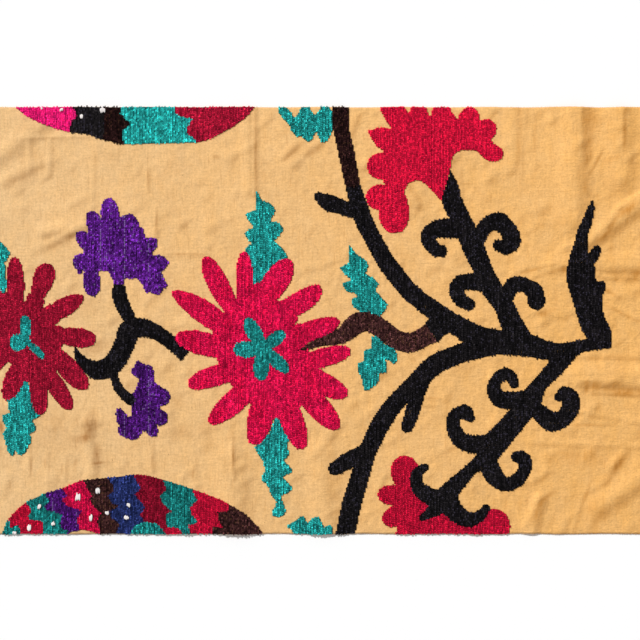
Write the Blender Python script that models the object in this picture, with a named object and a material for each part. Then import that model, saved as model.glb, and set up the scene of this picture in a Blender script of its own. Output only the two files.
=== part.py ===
"""A cut length of suzani: cotton ground cloth with blocks of laid thread sewn on it.

Plane sizes are in millimetres from the cloth's lower left corner, x to the right and y up the cloth. The
model is in metres, with its origin under the cloth's middle.
"""

import math
from collections import namedtuple

import bmesh
import bpy
from mathutils import Vector
from mathutils.geometry import convex_hull_2d, delaunay_2d_cdt

MM = 0.001

# The cloth and its threads
CLOTH_WIDTH = 656.0
CLOTH_LENGTH = 427.0
CLOTH_THICKNESS = 1.2
THREAD_THICKNESS = 0.9
GAP = 0.3
EDGE_WAVER = 0.5
WAVER_PITCH = 82.0
GRID_PITCH = 9.0

# How finely the outlines are drawn
STROKE_STEP = 4.5
LOBE_POINTS = 9
ROUND_POINTS = 20
EDGE_STEPS = 4
OUTLINE_SLACK = math.radians(4.0)
FLAT_SLACK = math.radians(0.35)
WELD = 0.08
CUTTER_DEPTH = 20.0
CUTTER_HEIGHT = 60.0

# Soft ridges of the cloth: the crest's two ends, how far each side reaches, and the crest's height
Fold = namedtuple("Fold", "x1 y1 x2 y2 reach height")
FOLDS = (
    Fold(584, 161, 664, 158, 15, 3.6),
    Fold(560, 270, 664, 272, 14, 2.8),
    Fold(590, 288, 664, 342, 14, 3.2),
    Fold(580, 436, 582, 316, 24, 4.0),
    Fold(626, 436, 630, 356, 20, 3.2),
    Fold(606, 26, 664, 66, 16, 3.2),
    Fold(536, -8, 548, 34, 11, 2.2),
    Fold(-2, 372, 52, 412, 14, 2.4),
    Fold(50, 303, 90, 308, 11, 1.8),
    Fold(94, 115, 100, 62, 10, 2.2),
    Fold(236, 76, 244, -10, 24, 2.6),
    Fold(452, 376, 468, 282, 18, 2.0),
    Fold(328, 80, 334, -10, 20, 2.4),
    Fold(254, 436, 257, 344, 10, 1.2),
    Fold(-4, 124, 28, 129, 12, 1.6),
)

# Colours (linear) and sheen
CLOTH_ROUGHNESS = 0.9
THREAD_ROUGHNESS = 0.6
OCHRE = (0.83, 0.485, 0.187)
PINK = (0.60, 0.008, 0.057)
CRIMSON = (0.57, 0.008, 0.037)
BURGUNDY = (0.255, 0.013, 0.034)
MAGENTA = (0.75, 0.032, 0.152)
TEAL = (0.013, 0.275, 0.263)
PURPLE = (0.085, 0.016, 0.2)
NAVY = (0.024, 0.036, 0.127)
BLACK = (0.011, 0.010, 0.012)
BROWN = (0.030, 0.012, 0.010)

# One station of a stem: its middle and its width there
Station = namedtuple("Station", "x y width")
# One disc or oval of solid stitching
Oval = namedtuple("Oval", "x y reach_x reach_y")
# One corner of a flower's body, at the foot of its petals, seen from the flower's centre
Foot = namedtuple("Foot", "heading radius")
# One corner of an outline that runs anticlockwise, and how far the edge that leads to it swells outwards
Corner = namedtuple("Corner", "x y swell")

# How full a lobe is near its tip: low numbers make it blunt
PETAL_TIP = 0.42
TOOTH_TIP = 0.5
KEEN_TIP = 0.9
# One petal, lobe or tooth: its root, its tip, how wide it is on either side, and where it is widest
Lobe = namedtuple("Lobe", "x1 y1 x2 y2 left right belly tip", defaults=(0.62, PETAL_TIP))


def lobe_outline(lobe):
    """Closed outline of a lobe whose sides swell as a power of a sine from its root to its tip."""
    skew = math.log(0.5) / math.log(lobe.belly)
    root, end = Vector((lobe.x1, lobe.y1)), Vector((lobe.x2, lobe.y2))
    across = (end - root).normalized().orthogonal()
    right, left = [], []
    for step in range(1, LOBE_POINTS):
        share = 0.5 - 0.5 * math.cos(math.pi * step / LOBE_POINTS)
        fullness = math.sin(math.pi * share ** skew) ** lobe.tip
        right.append(root.lerp(end, share) - across * lobe.right * fullness)
        left.append(root.lerp(end, share) + across * lobe.left * fullness)
    return [root] + right + [end] + left[::-1]


def lobes(rows, tip=TOOTH_TIP):
    """Outlines of even lobes, given as rows of root, tip and width."""
    return [lobe_outline(Lobe(x1, y1, x2, y2, width / 2, width / 2, tip=tip))
            for x1, y1, x2, y2, width in rows]


def oval_outline(oval):
    """Closed outline of a disc or oval."""
    turns = [2.0 * math.pi * step / ROUND_POINTS for step in range(ROUND_POINTS)]
    return [Vector((oval.x + oval.reach_x * math.cos(turn), oval.y + oval.reach_y * math.sin(turn)))
            for turn in turns]


def flower(centre, petals, feet=()):
    """Outlines of a flower's petals, in places seen from its centre, and of the body within their feet."""
    x, y = centre
    outlines = [lobe_outline(Lobe(x + x1, y + y1, x + x2, y + y2, *shape))
                for x1, y1, x2, y2, *shape in petals]
    body = []
    for heading, radius in (Foot(*row) for row in feet):
        turn = math.radians(heading)
        body.append(Vector((x + radius * math.cos(turn), y + radius * math.sin(turn))))
    return outlines + ([body] if body else [])


def smooth_stations(rows):
    """Stations along the smooth curve through the given ones, about STROKE_STEP apart."""
    points = [Vector(row) for row in rows]
    points = [2 * points[0] - points[1]] + points + [2 * points[-1] - points[-2]]
    smooth = []
    for before, start, end, after in zip(points, points[1:], points[2:], points[3:]):
        steps = max(1, round((end.xy - start.xy).length / STROKE_STEP))
        for step in range(steps):
            t = step / steps
            smooth.append(0.5 * (2 * start + (end - before) * t
                                 + (2 * before - 5 * start + 4 * end - after) * t ** 2
                                 + (3 * start - before - 3 * end + after) * t ** 3))
    return smooth + [points[-2]]


def stroke(rows, round_end=True):
    """Outlines that together cover a stem of changing width, with a round end unless it is left square."""
    smooth = smooth_stations([Station(*row) for row in rows])
    edges = []
    for index, station in enumerate(smooth):
        ahead = smooth[min(index + 1, len(smooth) - 1)].xy - smooth[max(index - 1, 0)].xy
        side = ahead.normalized().orthogonal() * 0.5 * max(station.z, 0.4)
        edges.append((station.xy - side, station.xy + side))
    corners = [[*start, *end] for start, end in zip(edges, edges[1:])]
    pieces = [[quad[index] for index in convex_hull_2d(quad)] for quad in corners]
    if round_end:
        last = smooth[-1]
        pieces.append(oval_outline(Oval(last.x, last.y, last.z / 2, last.z / 2)))
    return pieces


def strokes(groups):
    """Outlines of several stems."""
    return [piece for rows in groups for piece in stroke(rows)]


def patch(corners):
    """Closed outline given by its corners."""
    return [Vector(corner) for corner in corners]


def swelling(rows):
    """Closed outline through corners, its edges swollen or drawn in between them."""
    corners = [Corner(*row) for row in rows]
    outline = []
    for start, end in zip(corners[-1:] + corners[:-1], corners):
        here, there = Vector((start.x, start.y)), Vector((end.x, end.y))
        outwards = Vector((there.y - here.y, here.x - there.x)).normalized()
        steps = EDGE_STEPS if end.swell else 1
        for share in (step / steps for step in range(1, steps + 1)):
            outline.append(here.lerp(there, share) + outwards * end.swell * 4.0 * share * (1.0 - share))
    return outline


def signed_area(loop):
    """Area of a closed outline, positive where it runs anticlockwise."""
    return 0.5 * sum(a.cross(b) for a, b in zip(loop, loop[1:] + loop[:1]))


def grown(loop, margin=GAP + 0.05):
    """The outline moved outwards by a margin, its corners mitred."""
    if signed_area(loop) < 0:
        loop = loop[::-1]
    moved = []
    for before, here, after in zip(loop[-1:] + loop[:-1], loop, loop[1:] + loop[:1]):
        normals = [Vector((edge.y, -edge.x)).normalized() for edge in (here - before, after - here)]
        middle = (normals[0] + normals[1]).normalized()
        moved.append(here + middle * margin / max(0.5, middle.dot(normals[0])))
    return moved


def islands(faces):
    """Groups of faces that share edges."""
    waiting, groups = set(faces), []
    while waiting:
        group, edge_of_group = set(), [waiting.pop()]
        while edge_of_group:
            face = edge_of_group.pop()
            group.add(face)
            near = {other for edge in face.edges for other in edge.link_faces} & waiting
            waiting -= near
            edge_of_group.extend(near)
        groups.append(group)
    return groups


def keep_largest(mesh):
    """Drops the scraps that a neighbour cuts off, so that one patch is left."""
    groups = sorted(islands(mesh.faces), key=lambda group: sum(face.calc_area() for face in group))
    scraps = [face for group in groups[:-1] for face in group]
    bmesh.ops.delete(mesh, geom=scraps, context="FACES")


def flat_area(shapes, cuts, clips):
    """Flat mesh, in millimetres, of the shapes joined, kept inside the clips and clear of the cuts."""
    cuts = [grown(cut) for cut in cuts]
    loops = [loop if signed_area(loop) > 0 else loop[::-1] for loop in shapes + cuts + clips]
    points, faces = [], []
    for loop in loops:
        faces.append(list(range(len(points), len(points) + len(loop))))
        points += loop
    corners, _, triangles, _, _, owners = delaunay_2d_cdt(points, [], faces, 0, 1e-4, True)
    last_shape, last_cut = len(shapes), len(shapes) + len(cuts)
    mesh = bmesh.new()
    verts = [mesh.verts.new((corner.x, corner.y, 0.0)) for corner in corners]
    for triangle, inside in zip(triangles, owners):
        covered = any(owner < last_shape for owner in inside)
        removed = any(last_shape <= owner < last_cut for owner in inside)
        clipped = clips and not any(owner >= last_cut for owner in inside)
        if covered and not removed and not clipped:
            mesh.faces.new([verts[index] for index in triangle])
    keep_largest(mesh)
    bmesh.ops.delete(mesh, geom=[vert for vert in mesh.verts if not vert.link_faces], context="VERTS")
    bmesh.ops.remove_doubles(mesh, verts=mesh.verts, dist=WELD)
    bmesh.ops.dissolve_limit(mesh, angle_limit=OUTLINE_SLACK, verts=mesh.verts, edges=mesh.edges)
    return mesh


def fold_height(x, y):
    """How high the cloth's folds lift it off the surface, at a place given in millimetres."""
    height = 0.0
    for fold in FOLDS:
        start = Vector((fold.x1, fold.y1))
        crest = Vector((fold.x2, fold.y2)) - start
        place = Vector((x, y)) - start
        share = min(1.0, max(0.0, place.dot(crest) / crest.length_squared))
        away = (place - crest * share).length
        if away < fold.reach:
            height += fold.height * 0.5 * (1.0 + math.cos(math.pi * away / fold.reach))
    return height


def wavering(x, y):
    """The place moved in where a cut edge wanders, by less and less towards the cloth's middle."""
    sway_x = EDGE_WAVER * 0.5 * (1.0 - math.cos(2.0 * math.pi * y / WAVER_PITCH))
    sway_y = EDGE_WAVER * 0.5 * (1.0 - math.cos(2.0 * math.pi * x / WAVER_PITCH))
    return x + sway_x * (1.0 - 2.0 * x / CLOTH_WIDTH), y + sway_y * (1.0 - 2.0 * y / CLOTH_LENGTH)


def placed(x, y, z):
    """A place on the cloth, in metres from under the cloth's middle."""
    return Vector((x - CLOTH_WIDTH / 2, y - CLOTH_LENGTH / 2, z)) * MM


def cloth_surface():
    """The cloth's folded underside as one open sheet of triangles, its flat stretches in few faces."""
    mesh = bmesh.new()
    columns, rows = round(CLOTH_WIDTH / GRID_PITCH), round(CLOTH_LENGTH / GRID_PITCH)
    bmesh.ops.create_grid(mesh, x_segments=columns, y_segments=rows, size=0.5)
    for vert in mesh.verts:
        x, y = wavering((vert.co.x + 0.5) * CLOTH_WIDTH, (vert.co.y + 0.5) * CLOTH_LENGTH)
        vert.co = placed(x, y, fold_height(x, y))
    bmesh.ops.dissolve_limit(mesh, angle_limit=FLAT_SLACK, verts=mesh.verts, edges=mesh.edges)
    bmesh.ops.triangulate(mesh, faces=mesh.faces)
    return mesh


def thickened(surface, bottom, top):
    """A closed sheet on a copy of the surface, between two heights above it."""
    mesh = surface.copy()
    bmesh.ops.translate(mesh, verts=mesh.verts, vec=(0.0, 0.0, bottom * MM))
    swept = bmesh.ops.extrude_face_region(mesh, geom=mesh.faces[:])
    raised = [item for item in swept["geom"] if isinstance(item, bmesh.types.BMVert)]
    bmesh.ops.translate(mesh, verts=raised, vec=(0.0, 0.0, (top - bottom) * MM))
    bmesh.ops.recalc_face_normals(mesh, faces=mesh.faces)
    return mesh


def finish(name, colour, roughness):
    """Principled material of one colour."""
    material = bpy.data.materials.new(name)
    material.use_nodes = True
    shader = material.node_tree.nodes["Principled BSDF"]
    shader.inputs["Base Color"].default_value = (*colour, 1.0)
    shader.inputs["Roughness"].default_value = roughness
    shader.inputs["Metallic"].default_value = 0.0
    return material


def new_object(name, mesh, collection):
    """Object made from a bmesh, which is freed."""
    data = bpy.data.meshes.new(name)
    mesh.to_mesh(data)
    mesh.free()
    thing = bpy.data.objects.new(name, data)
    collection.objects.link(thing)
    return thing


def make_ground_cloth(surface, collection):
    """The ochre cotton ground, one closed sheet."""
    cloth = new_object("ground_cloth", thickened(surface, 0.0, CLOTH_THICKNESS), collection)
    cloth.data.materials.append(finish("ochre_cotton", OCHRE, CLOTH_ROUGHNESS))
    return cloth


def make_thread_layer(surface, collection):
    """Guide solid that lies on the cloth everywhere and gives each block of stitching its depth."""
    bottom = CLOTH_THICKNESS + GAP
    layer = new_object("thread_layer", thickened(surface, bottom, bottom + THREAD_THICKNESS), collection)
    layer.hide_render = True
    layer.display_type = "WIRE"
    return layer


def embroider(name, colour, layer, collection, shapes, cuts=(), clips=()):
    """One block of laid thread: an upright prism of its outline, kept only within the thread layer."""
    mesh = flat_area(list(shapes), list(cuts), list(clips))
    swept = bmesh.ops.extrude_face_region(mesh, geom=mesh.faces[:])
    raised = [item for item in swept["geom"] if isinstance(item, bmesh.types.BMVert)]
    bmesh.ops.translate(mesh, verts=raised, vec=(0.0, 0.0, CUTTER_DEPTH + CUTTER_HEIGHT))
    for vert in mesh.verts:
        vert.co = placed(vert.co.x, vert.co.y, vert.co.z - CUTTER_DEPTH)
    bmesh.ops.recalc_face_normals(mesh, faces=mesh.faces)
    block = new_object(name, mesh, collection)
    block.data.materials.append(finish(name + "_thread", colour, THREAD_ROUGHNESS))
    depth = block.modifiers.new("thread_depth", "BOOLEAN")
    depth.operation = "INTERSECT"
    depth.solver = "EXACT"
    depth.object = layer
    merge = block.modifiers.new("merge_flats", "DECIMATE")
    merge.decimate_type = "DISSOLVE"
    merge.angle_limit = FLAT_SLACK
    return block


# Pink flower: its centre, its petals seen from there, and the feet of its petals
PINK_CENTRE = (271, 186)
PINK_PETALS = (
    (0, 0, 76.4, 27, 10, 9.7), (-1, 26, 57.5, 61.2, 7.8, 13.3), (-10, 33, 27, 88.5, 12.2, 13),
    (-18.5, 20.6, -19.1, 96.5, 8.3, 9.2), (-21.9, 22.5, -58.3, 91.5, 11.2, 8.8),
    (-25.2, 10.7, -91, 56.2, 9.5, 12.4, 0.5, 0.55), (-15.2, -7.7, -87.9, 10.8, 10.6, 12),
    (-5.9, -15.6, -74.8, -37.5, 9, 11.2), (2.1, -24.4, -54, -75, 11.8, 10.3, 0.55, 0.45),
    (8, -23.7, -10.1, -96.5, 13.5, 12), (9.3, -21.6, 39.8, -101, 11.5, 11.5),
    (17, -18, 75.4, -80.8, 11.5, 11.2), (10, -8, 84.8, -47, 9.4, 12.7), (19.9, -20.4, 87.5, -2.3, 9.2, 9.2),
)
PINK_FEET = (
    (3, 45), (33.5, 44.4), (36.9, 37.5), (39.6, 45.5), (64.9, 54.1), (71.6, 49), (94, 66), (117, 57),
    (137.4, 53), (164.4, 53), (196.5, 47), (224.6, 48), (256.5, 57), (281, 72), (304.5, 69), (321.8, 71.5),
    (336, 53),
)
PINK_EYE = (
    (3, -2, -17, 29.5, 8.3, 7), (-4, -4, 21.5, 16, 6.7, 6.7), (-3, 3, 25, -24, 6.7, 6.7),
    (0, 4, -1.9, -33, 7.2, 8.4), (5, -1, -29.7, -1.2, 8.6, 7.7),
)

# Burgundy flower at the left edge
BURGUNDY_CENTRE = (34, 194)
BURGUNDY_PETALS = (
    (17, 20, 57, 43.5, 9.6, 8.6, 0.5, 0.6), (4, 24, 22.5, 76, 10.4, 10.4, 0.75),
    (-9, 15, -12, 82.5, 8.6, 8.8), (-6, 6, -44.5, 59.1, 10, 10), (-8, 3, -60.6, 35, 9.5, 9.5),
    (-8, 0, -68, 0, 9, 9), (-6, -4, -58.7, -38.1, 10.5, 10.5), (2, -8, -20.5, -59.6, 9.7, 9.7),
    (11, -15, 14.7, -74.8, 8.2, 9.2), (8, -12, 44.9, -69.5, 8.5, 8.5), (19.9, -2.8, 60.5, -48.5, 9.6, 10.5),
    (14, 7, 69.5, 0, 9.4, 9.2, 0.7),
)
BURGUNDY_FEET = (
    (19.9, 38.3), (29, 30.5), (30.5, 39.4), (56.3, 43.3), (63, 33.5), (65, 43.6), (87, 47), (91.5, 37),
    (113, 52), (138, 45), (165, 42), (196, 40), (234.6, 27.6), (270, 41.5), (294, 49), (316, 42.5),
    (352, 36),
)
BURGUNDY_EYE = (
    (0, -3, -1.5, 24.8, 5.3, 6.2), (4, -1, -16.7, -3.5, 8.3, 8.2), (-2, 1, 18, -18.5, 4.2, 3, 0.65),
)

# Purple palmette
PALMETTE_LOBES = (
    (121, 288, 116, 336, 18.5), (112, 282, 98.5, 322.7, 16), (114, 278, 84.5, 299.5, 15),
    (110, 272, 80.6, 272, 17), (99, 276, 99.5, 238.2, 16.5), (128, 276, 138.5, 319.5, 25),
    (133, 272, 164, 294, 16), (143, 268, 175.5, 271.5, 17), (158, 274, 165.7, 239.7, 18.5),
    (158, 260, 155, 241.7, 8), (88, 268, 87, 260.5, 5), (168, 250.5, 174.7, 248, 5),
)
PALMETTE_BODY = (
    (109, 316), (96.5, 302), (91, 284), (91, 264), (104, 264), (116, 263), (121, 257), (132, 256),
    (151, 256), (168, 262), (160, 280), (153, 296.5), (150.3, 305), (130.5, 315),
)
PALMETTE_NECK = (
    (125.5, 266, 20), (126.5, 258, 13.5), (126.5, 250, 9),
)

# Purple bud beside the small stem
BUD_LOBES = (
    (151, 152, 145.5, 172.5, 9), (152, 156, 139.5, 165, 7), (155, 150, 156, 168.7, 11),
    (158, 134, 177.5, 139, 17), (156, 122, 175.2, 113, 15), (154, 114, 163.3, 98.2, 11),
    (150, 118, 136.2, 95.4, 16.5), (137, 98, 125.7, 125, 10.5), (150, 109, 131, 112, 13),
    (142, 96, 126.5, 106, 9),
)
BUD_STEM = (
    (153.5, 164, 13), (154, 154, 15.5), (155, 142, 18),
)
BUD_BODY = Oval(153, 127, 14.2, 24)

# Small black S-stem
SMALL_STEM = (
    (82.4, 187, 1), (85.5, 178.4, 7), (93, 170, 11), (105.5, 163.8, 18.8), (120.5, 170, 19.5),
    (131.8, 188.5, 19.5), (137.5, 203.7, 21.5), (150.3, 206.2, 17.3), (163.9, 201.8, 14.4),
    (179.5, 190.8, 12.3), (192.8, 178.3, 11),
)
SMALL_STEM_NECK = (
    (127.5, 249, 10.5), (126.5, 241, 13.2), (130, 229.5, 13.5), (137, 216, 12),
)
SMALL_STEM_TWIG = (
    (120, 167, 8), (122, 158, 7), (123.5, 152, 7.8), (127.9, 143.5, 8.4), (138, 134, 10),
)

# Teal leaves: the corners of their lobed edges, down the left side and up the right one
LEAF_ABOVE_PINK = (
    (264.7, 342, -0.3), (264.5, 324, 0), (253.8, 319.5, 0.5), (261.8, 308, 1), (261.5, 306, 0),
    (252.6, 300.5, 0.6), (260.8, 290.5, 0.8), (252.8, 284.5, 0.6), (258, 272, 0), (261.5, 250, 0),
    (266, 250, 0), (278, 262, 0), (295, 275.5, 0), (295, 277.5, 0), (282, 292.5, 1), (282, 294, 0),
    (291.2, 304.5, 0.3), (278.5, 312.2, 2.6), (277.8, 314.5, 0), (283, 323.5, 0.3), (270.5, 332.5, 2.3),
)
LEAF_BELOW_PINK = (
    (285, 120, 0), (277, 100, 0), (263.2, 86.5, 0), (271, 74, 0.8), (273.4, 62, 0), (269.8, 55.5, 0.4),
    (272, 52.5, 0.3), (277.5, 43.5, -1.2), (284.3, 33.5, 1), (283.5, 27, -0.3), (280.7, 23.5, 0.3),
    (281, 18, 0.3), (291, 18.5, 1), (293, 24, 0.6), (288.7, 35, 0.5), (289.5, 39, 0), (291.5, 40, 0),
    (299.5, 46, 1.5), (290, 56.5, 0.5), (299.8, 63, -0.3), (290.7, 74, 0.3), (296.7, 80.5, 0.8),
    (294.2, 89, 0), (297.5, 94.5, -0.3), (292, 101, 0),
)
LEAF_ABOVE_BURGUNDY = (
    (13, 242, 0), (14.5, 249, 0), (12, 272, -0.4), (17.3, 281, 0.8), (8, 291.5, 0.6), (-4, 296, 0),
    (-4, 236, 0),
)
LEAF_BELOW_BURGUNDY = (
    (34, 158, 0), (15.5, 134.5, 0), (18.5, 121, 0.4), (10, 117, 0.8), (15.5, 105, 0.5), (11, 100.5, 0.5),
    (14, 92, 0.5), (15, 84.5, 0), (20.5, 78.5, 0.8), (23, 84, 0.3), (29, 79.5, 0.8), (34.5, 84, 1.2),
    (36.5, 89.5, 0), (39, 93, 0.3), (36.8, 101.2, 0), (43.5, 105.5, 0.9), (40, 111.5, 0.2),
    (39.8, 115.7, 0), (46.5, 117, 0.4), (47, 119.5, 0.3), (42, 128, 0),
)
LEAF_ABOVE_BROWN = (
    (356.3, 289.5, -1.2), (357.8, 271, -0.3), (348.5, 266, 0.3), (359.3, 255, 0.8), (358, 253, 0),
    (351, 250.5, 0.3), (355.5, 242.3, 0.8), (361.5, 242.5, 0.5), (366.5, 237, 0), (360, 235.2, 0),
    (359.7, 231, 0.2), (364, 226, 0.6), (372, 220, 0), (385, 215, 0), (391, 222, 0), (395, 229.5, 0.3),
    (382.7, 243.5, 0.3), (386.2, 250, 0), (374, 259, 1.2), (373.5, 262, 0), (375.8, 268, 0.3),
    (370.5, 275, 1.2),
)
LEAF_BELOW_BROWN = (
    (379.3, 197, 0), (379, 185.5, 0), (378, 184, 0), (374, 184, 0), (372.6, 182, 0.4), (372.3, 172, 0),
    (366.8, 170.5, 0.3), (365.9, 164, 0.5), (369.5, 157, 0), (371.5, 148, 0), (372.7, 144, 0),
    (379, 146.5, 0.6), (386.3, 154, 0.8), (387.3, 161.3, 0), (393, 161.7, 0.2), (394.3, 165, 0.3),
    (393, 174.5, 0), (398, 173.5, -0.3), (402.5, 170.5, 0.3), (405, 177, 0.8), (402, 184.5, 0.5),
    (392, 190, 0), (386, 197, 0),
)
LEAF_AT_TOP = (
    (286, 436, 0), (286.5, 423, 0), (292, 415, 0.3), (297.5, 409, 0), (302, 400.5, 0.5),
    (305.5, 398, 0.5), (309.5, 398, 0), (316, 392.3, 0.3), (318.5, 394, 0), (323, 402, 0.3),
    (325, 402, 0), (329, 393, 0.2), (332.5, 392.2, 0.3), (336.5, 396.5, 0.6), (341, 406, 0.3),
    (344, 420, 0), (337, 425, 0), (335, 437, 0), (329, 437, 0), (328.5, 425.5, 0), (326.5, 422, 0),
    (323, 418.5, 0.3), (320, 420.5, 0.3), (317, 426, 0), (316, 437, 0), (309.5, 437, 0), (309, 426, 0),
    (306, 418.5, 0.3), (303.5, 416.5, 0.2), (301, 417, 0), (293.5, 427, 0.5), (292, 437, 0),
)
LEAF_AT_BOTTOM = (
    (301.5, -6, 0), (339, -6, 0), (339.8, 5, 0.3), (338.5, 9, 0.3), (336, 8.5, 0.3), (331.5, 6, 0.2),
    (329, 11, 0.2), (327.5, 15, 0), (324, 17, 0.5), (319, 13.5, 0.4), (316, 10.7, 0), (313.5, 12.5, 0),
    (310.7, 17.8, 0.6), (303.5, 13, 0.3), (298.5, 9.7, 0), (295.3, 7, 0.5), (299, 5.5, -0.3),
    (301.5, 0, -0.3),
)

# Brown S-stem that runs into the pink flower
BROWN_STEM = (
    (306, 183, 0.5), (325.8, 191, 7), (349.2, 198.2, 14.5), (365.3, 210.7, 20), (378.8, 211.7, 18.5),
    (391.4, 203.2, 18), (405.6, 193.7, 18.5), (420.8, 191.6, 18), (438.8, 201.3, 19),
)

# Main vine
VINE_UPPER = (
    (348, 438, 16), (348.2, 427, 16), (348.5, 407, 15), (353, 387, 15.5), (356.5, 367, 15), (361, 347, 14),
)
VINE_TWIG = (
    (366, 320, 10), (356, 324.5, 13), (348.8, 327, 13.5), (337.1, 331.3, 16.5), (325.9, 337.4, 7.5),
)
VINE_MAIN = (
    (361, 347, 14), (366, 331, 16), (370.2, 317, 17), (374, 308.5, 16.5), (382.2, 292.6, 16),
    (395.7, 269.3, 16.8), (416.8, 243.3, 16.8), (436.8, 226.7, 17.5), (456, 213.5, 18.5), (468, 207, 19.5),
    (484, 197, 23), (504, 192, 24), (520, 191.5, 24), (536, 189, 22), (552, 184, 18.5), (564, 182.5, 16.5),
    (576, 184, 14.5), (592, 188.5, 11.5), (608, 191.5, 12), (618, 193, 13),
)
VINE_FORK = (
    (438.8, 201.3, 19), (447, 209.5, 22), (459, 213, 20),
)
VINE_LOWER = (
    (508, 191, 20), (490, 187, 21), (472, 182, 18.5), (456, 176, 18.5), (442, 169, 18.5), (428, 156, 18.5),
    (413.5, 142, 17.5), (400.5, 128, 17), (388.3, 110, 18), (380, 93, 17), (374, 79, 17), (369, 62, 17.5),
    (364.5, 46, 18.5), (359.5, 30, 18.5), (356, 14, 18), (353, 0, 18.3), (350.5, -13, 18.5),
)
VINE_RIGHT_SPUR = (
    (432, 154, 12), (426, 142, 14), (421.5, 128, 13.5), (418, 116, 13.5), (415, 107.5, 11.5),
)
VINE_LEFT_SPUR = (
    (372, 82, 14), (360, 75.5, 16), (351, 70.5, 15), (343, 65.6, 13),
)

# Tall blade leaf at the right
BLADE_SPINE = (
    (600.8, 333.5, 0.5), (599.2, 326, 6), (597, 320, 8), (595.5, 314, 9), (593, 308, 10), (590, 302, 10),
    (589.5, 296, 11), (588.5, 290, 13), (587.5, 284, 15), (587, 278, 18.5), (588, 272, 24),
    (588.5, 264, 28), (589, 254, 28), (591.5, 246, 28), (595, 236, 29.5), (597, 224, 26.5), (600, 213, 25),
    (603.5, 206, 25), (607, 200, 24), (608.5, 193, 22), (609, 185, 19),
)
BLADE_TEETH = (
    (594, 266, 606.7, 287.5, 9.5), (600, 234, 611.5, 252.3, 11.5),
)

# Upper side stem and its curls
UPPER_STEM = (
    (458.5, 362, 0.5), (460, 347, 12.5), (459.5, 333.8, 19), (467, 318, 18.5), (474.6, 301.8, 19.8),
    (482.3, 284.2, 21.3), (491, 264, 18), (499.5, 246, 20), (511.5, 229, 19.5), (518.5, 212, 21),
    (527, 195, 25),
)
UPPER_CURLS = (
    ((470, 305, 18), (456, 305.8, 19), (442.8, 304.3, 16), (436, 297.8, 15), (438.8, 289.5, 13),
     (445, 283.5, 12.2), (449.5, 282.8, 10.8)),
    ((484, 291, 14), (490.3, 303.8, 14), (497.6, 310.5, 15), (505.9, 312.5, 17.5), (514.9, 305.7, 16),
     (520, 294, 17.5), (514.8, 287, 14.5), (506.2, 288.8, 10)),
    ((494, 250, 16), (479, 252.5, 15.5), (468, 250.5, 15), (464.2, 242.5, 15), (469.3, 233.5, 12),
     (477, 229.7, 11.5)),
    ((514, 234, 13), (517, 244, 14.5), (524, 250.1, 15), (534, 248.4, 13.5), (542.4, 242.5, 16.8),
     (544.2, 233, 17)),
)

# Lower side stem, its curls and the calyx that holds the lower palmette
LOWER_STEM = (
    (578, 182, 14), (568, 172, 17), (557.5, 160, 15), (545.5, 147, 14.8), (539, 135, 22), (529, 120, 20.5),
    (514, 104, 22.5), (500.3, 87.8, 23.5), (493.3, 75.8, 19.5), (481, 66.5, 11.5), (469.7, 55.2, 14),
    (461, 46.5, 16), (454, 38, 20), (452, 30, 18),
)
LOWER_CURLS = (
    ((534, 136, 14), (519, 133.6, 16.4), (506.8, 135.7, 16), (501.2, 146.5, 12.8), (505.8, 156, 11),
     (513.5, 160.3, 12), (520, 156, 11), (522, 150, 8.5)),
    ((539, 130, 14), (549.6, 119.2, 16.3), (559.9, 112.3, 19), (572.7, 116.9, 16), (578.5, 128.2, 17.5),
     (577.5, 137.5, 16), (572, 141.5, 11.5), (566.6, 137, 7.3)),
    ((496, 91, 16), (482, 89.5, 16.8), (468.8, 93.8, 15.5), (461.5, 106, 13.5), (461.5, 116, 13),
     (467.6, 121.5, 12), (474.6, 121.8, 13), (478.3, 116, 8)),
    ((496, 72, 18), (501.5, 58.7, 17.5), (513.4, 49.7, 13.6), (525.4, 54.2, 12.5), (532.8, 65.7, 12.5),
     (531.8, 74.8, 14), (525, 77.2, 11)),
)
CALYX_ARMS = (
    ((454, 34, 18), (439.7, 36.7, 17), (427.3, 44.3, 13.4), (423.8, 55, 12.2), (427.2, 63.5, 10),
     (433.1, 66.7, 7)),
    ((456, 34, 20), (460.3, 24.5, 18.5), (468.6, 17.3, 16.8), (479, 13.8, 13.8), (488.8, 18.6, 10.5),
     (493.8, 25.3, 7.8)),
    ((452, 31, 18), (441, 23, 13), (429.9, 15.7, 6)),
)

# Crimson palmettes
UPPER_PALMETTE_LOBES = (
    (428, 379, 388, 445, 11, 11), (432, 374, 425.5, 433, 9.7, 9.7), (443, 374, 451, 433, 10.7, 10.7),
    (466, 389, 480.5, 426.5, 9.8, 11.6), (484, 391, 500.3, 412.7, 10.2, 10.2),
    (488, 388, 510.8, 379, 6.5, 10.3, 0.5), (413, 368, 375.2, 368, 13, 13), (408, 342, 374.3, 334, 12, 12),
    (400, 356, 403, 301, 15.2, 15.2), (424, 381, 377, 402.7, 11, 11, 0.62, KEEN_TIP),
)
UPPER_PALMETTE_BODY = (
    (399, 406.5, 0), (391.5, 382, 0), (392, 352, 0), (400, 340, 0), (412.4, 334, 0), (412.2, 344, 0),
    (424.5, 354, -2.9), (434, 350, -1), (448.5, 334, -0.6), (451, 340, 0), (455, 354, 0), (457.5, 364, 0),
    (458.8, 373, 0), (470, 384.5, -2.5), (481, 384.5, 0), (485, 383, 0), (489.5, 380, 0), (494, 385, 0),
    (502, 389, 0), (487.5, 410, 0), (466, 412.5, 0), (461, 420, 0), (450, 428, 0), (438.3, 416.5, 0),
    (426, 428, 0), (414.3, 420, 0),
)
LOWER_PALMETTE_LOBES = (
    (420, 34, 409, 77.7, 28), (428, 37, 385.8, 39.7, 20), (426, 27, 390.8, 12.5, 20),
    (433, 14, 404, -9, 19),
)
LOWER_PALMETTE_BODY = Oval(437, 13, 33.5, 26)
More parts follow.
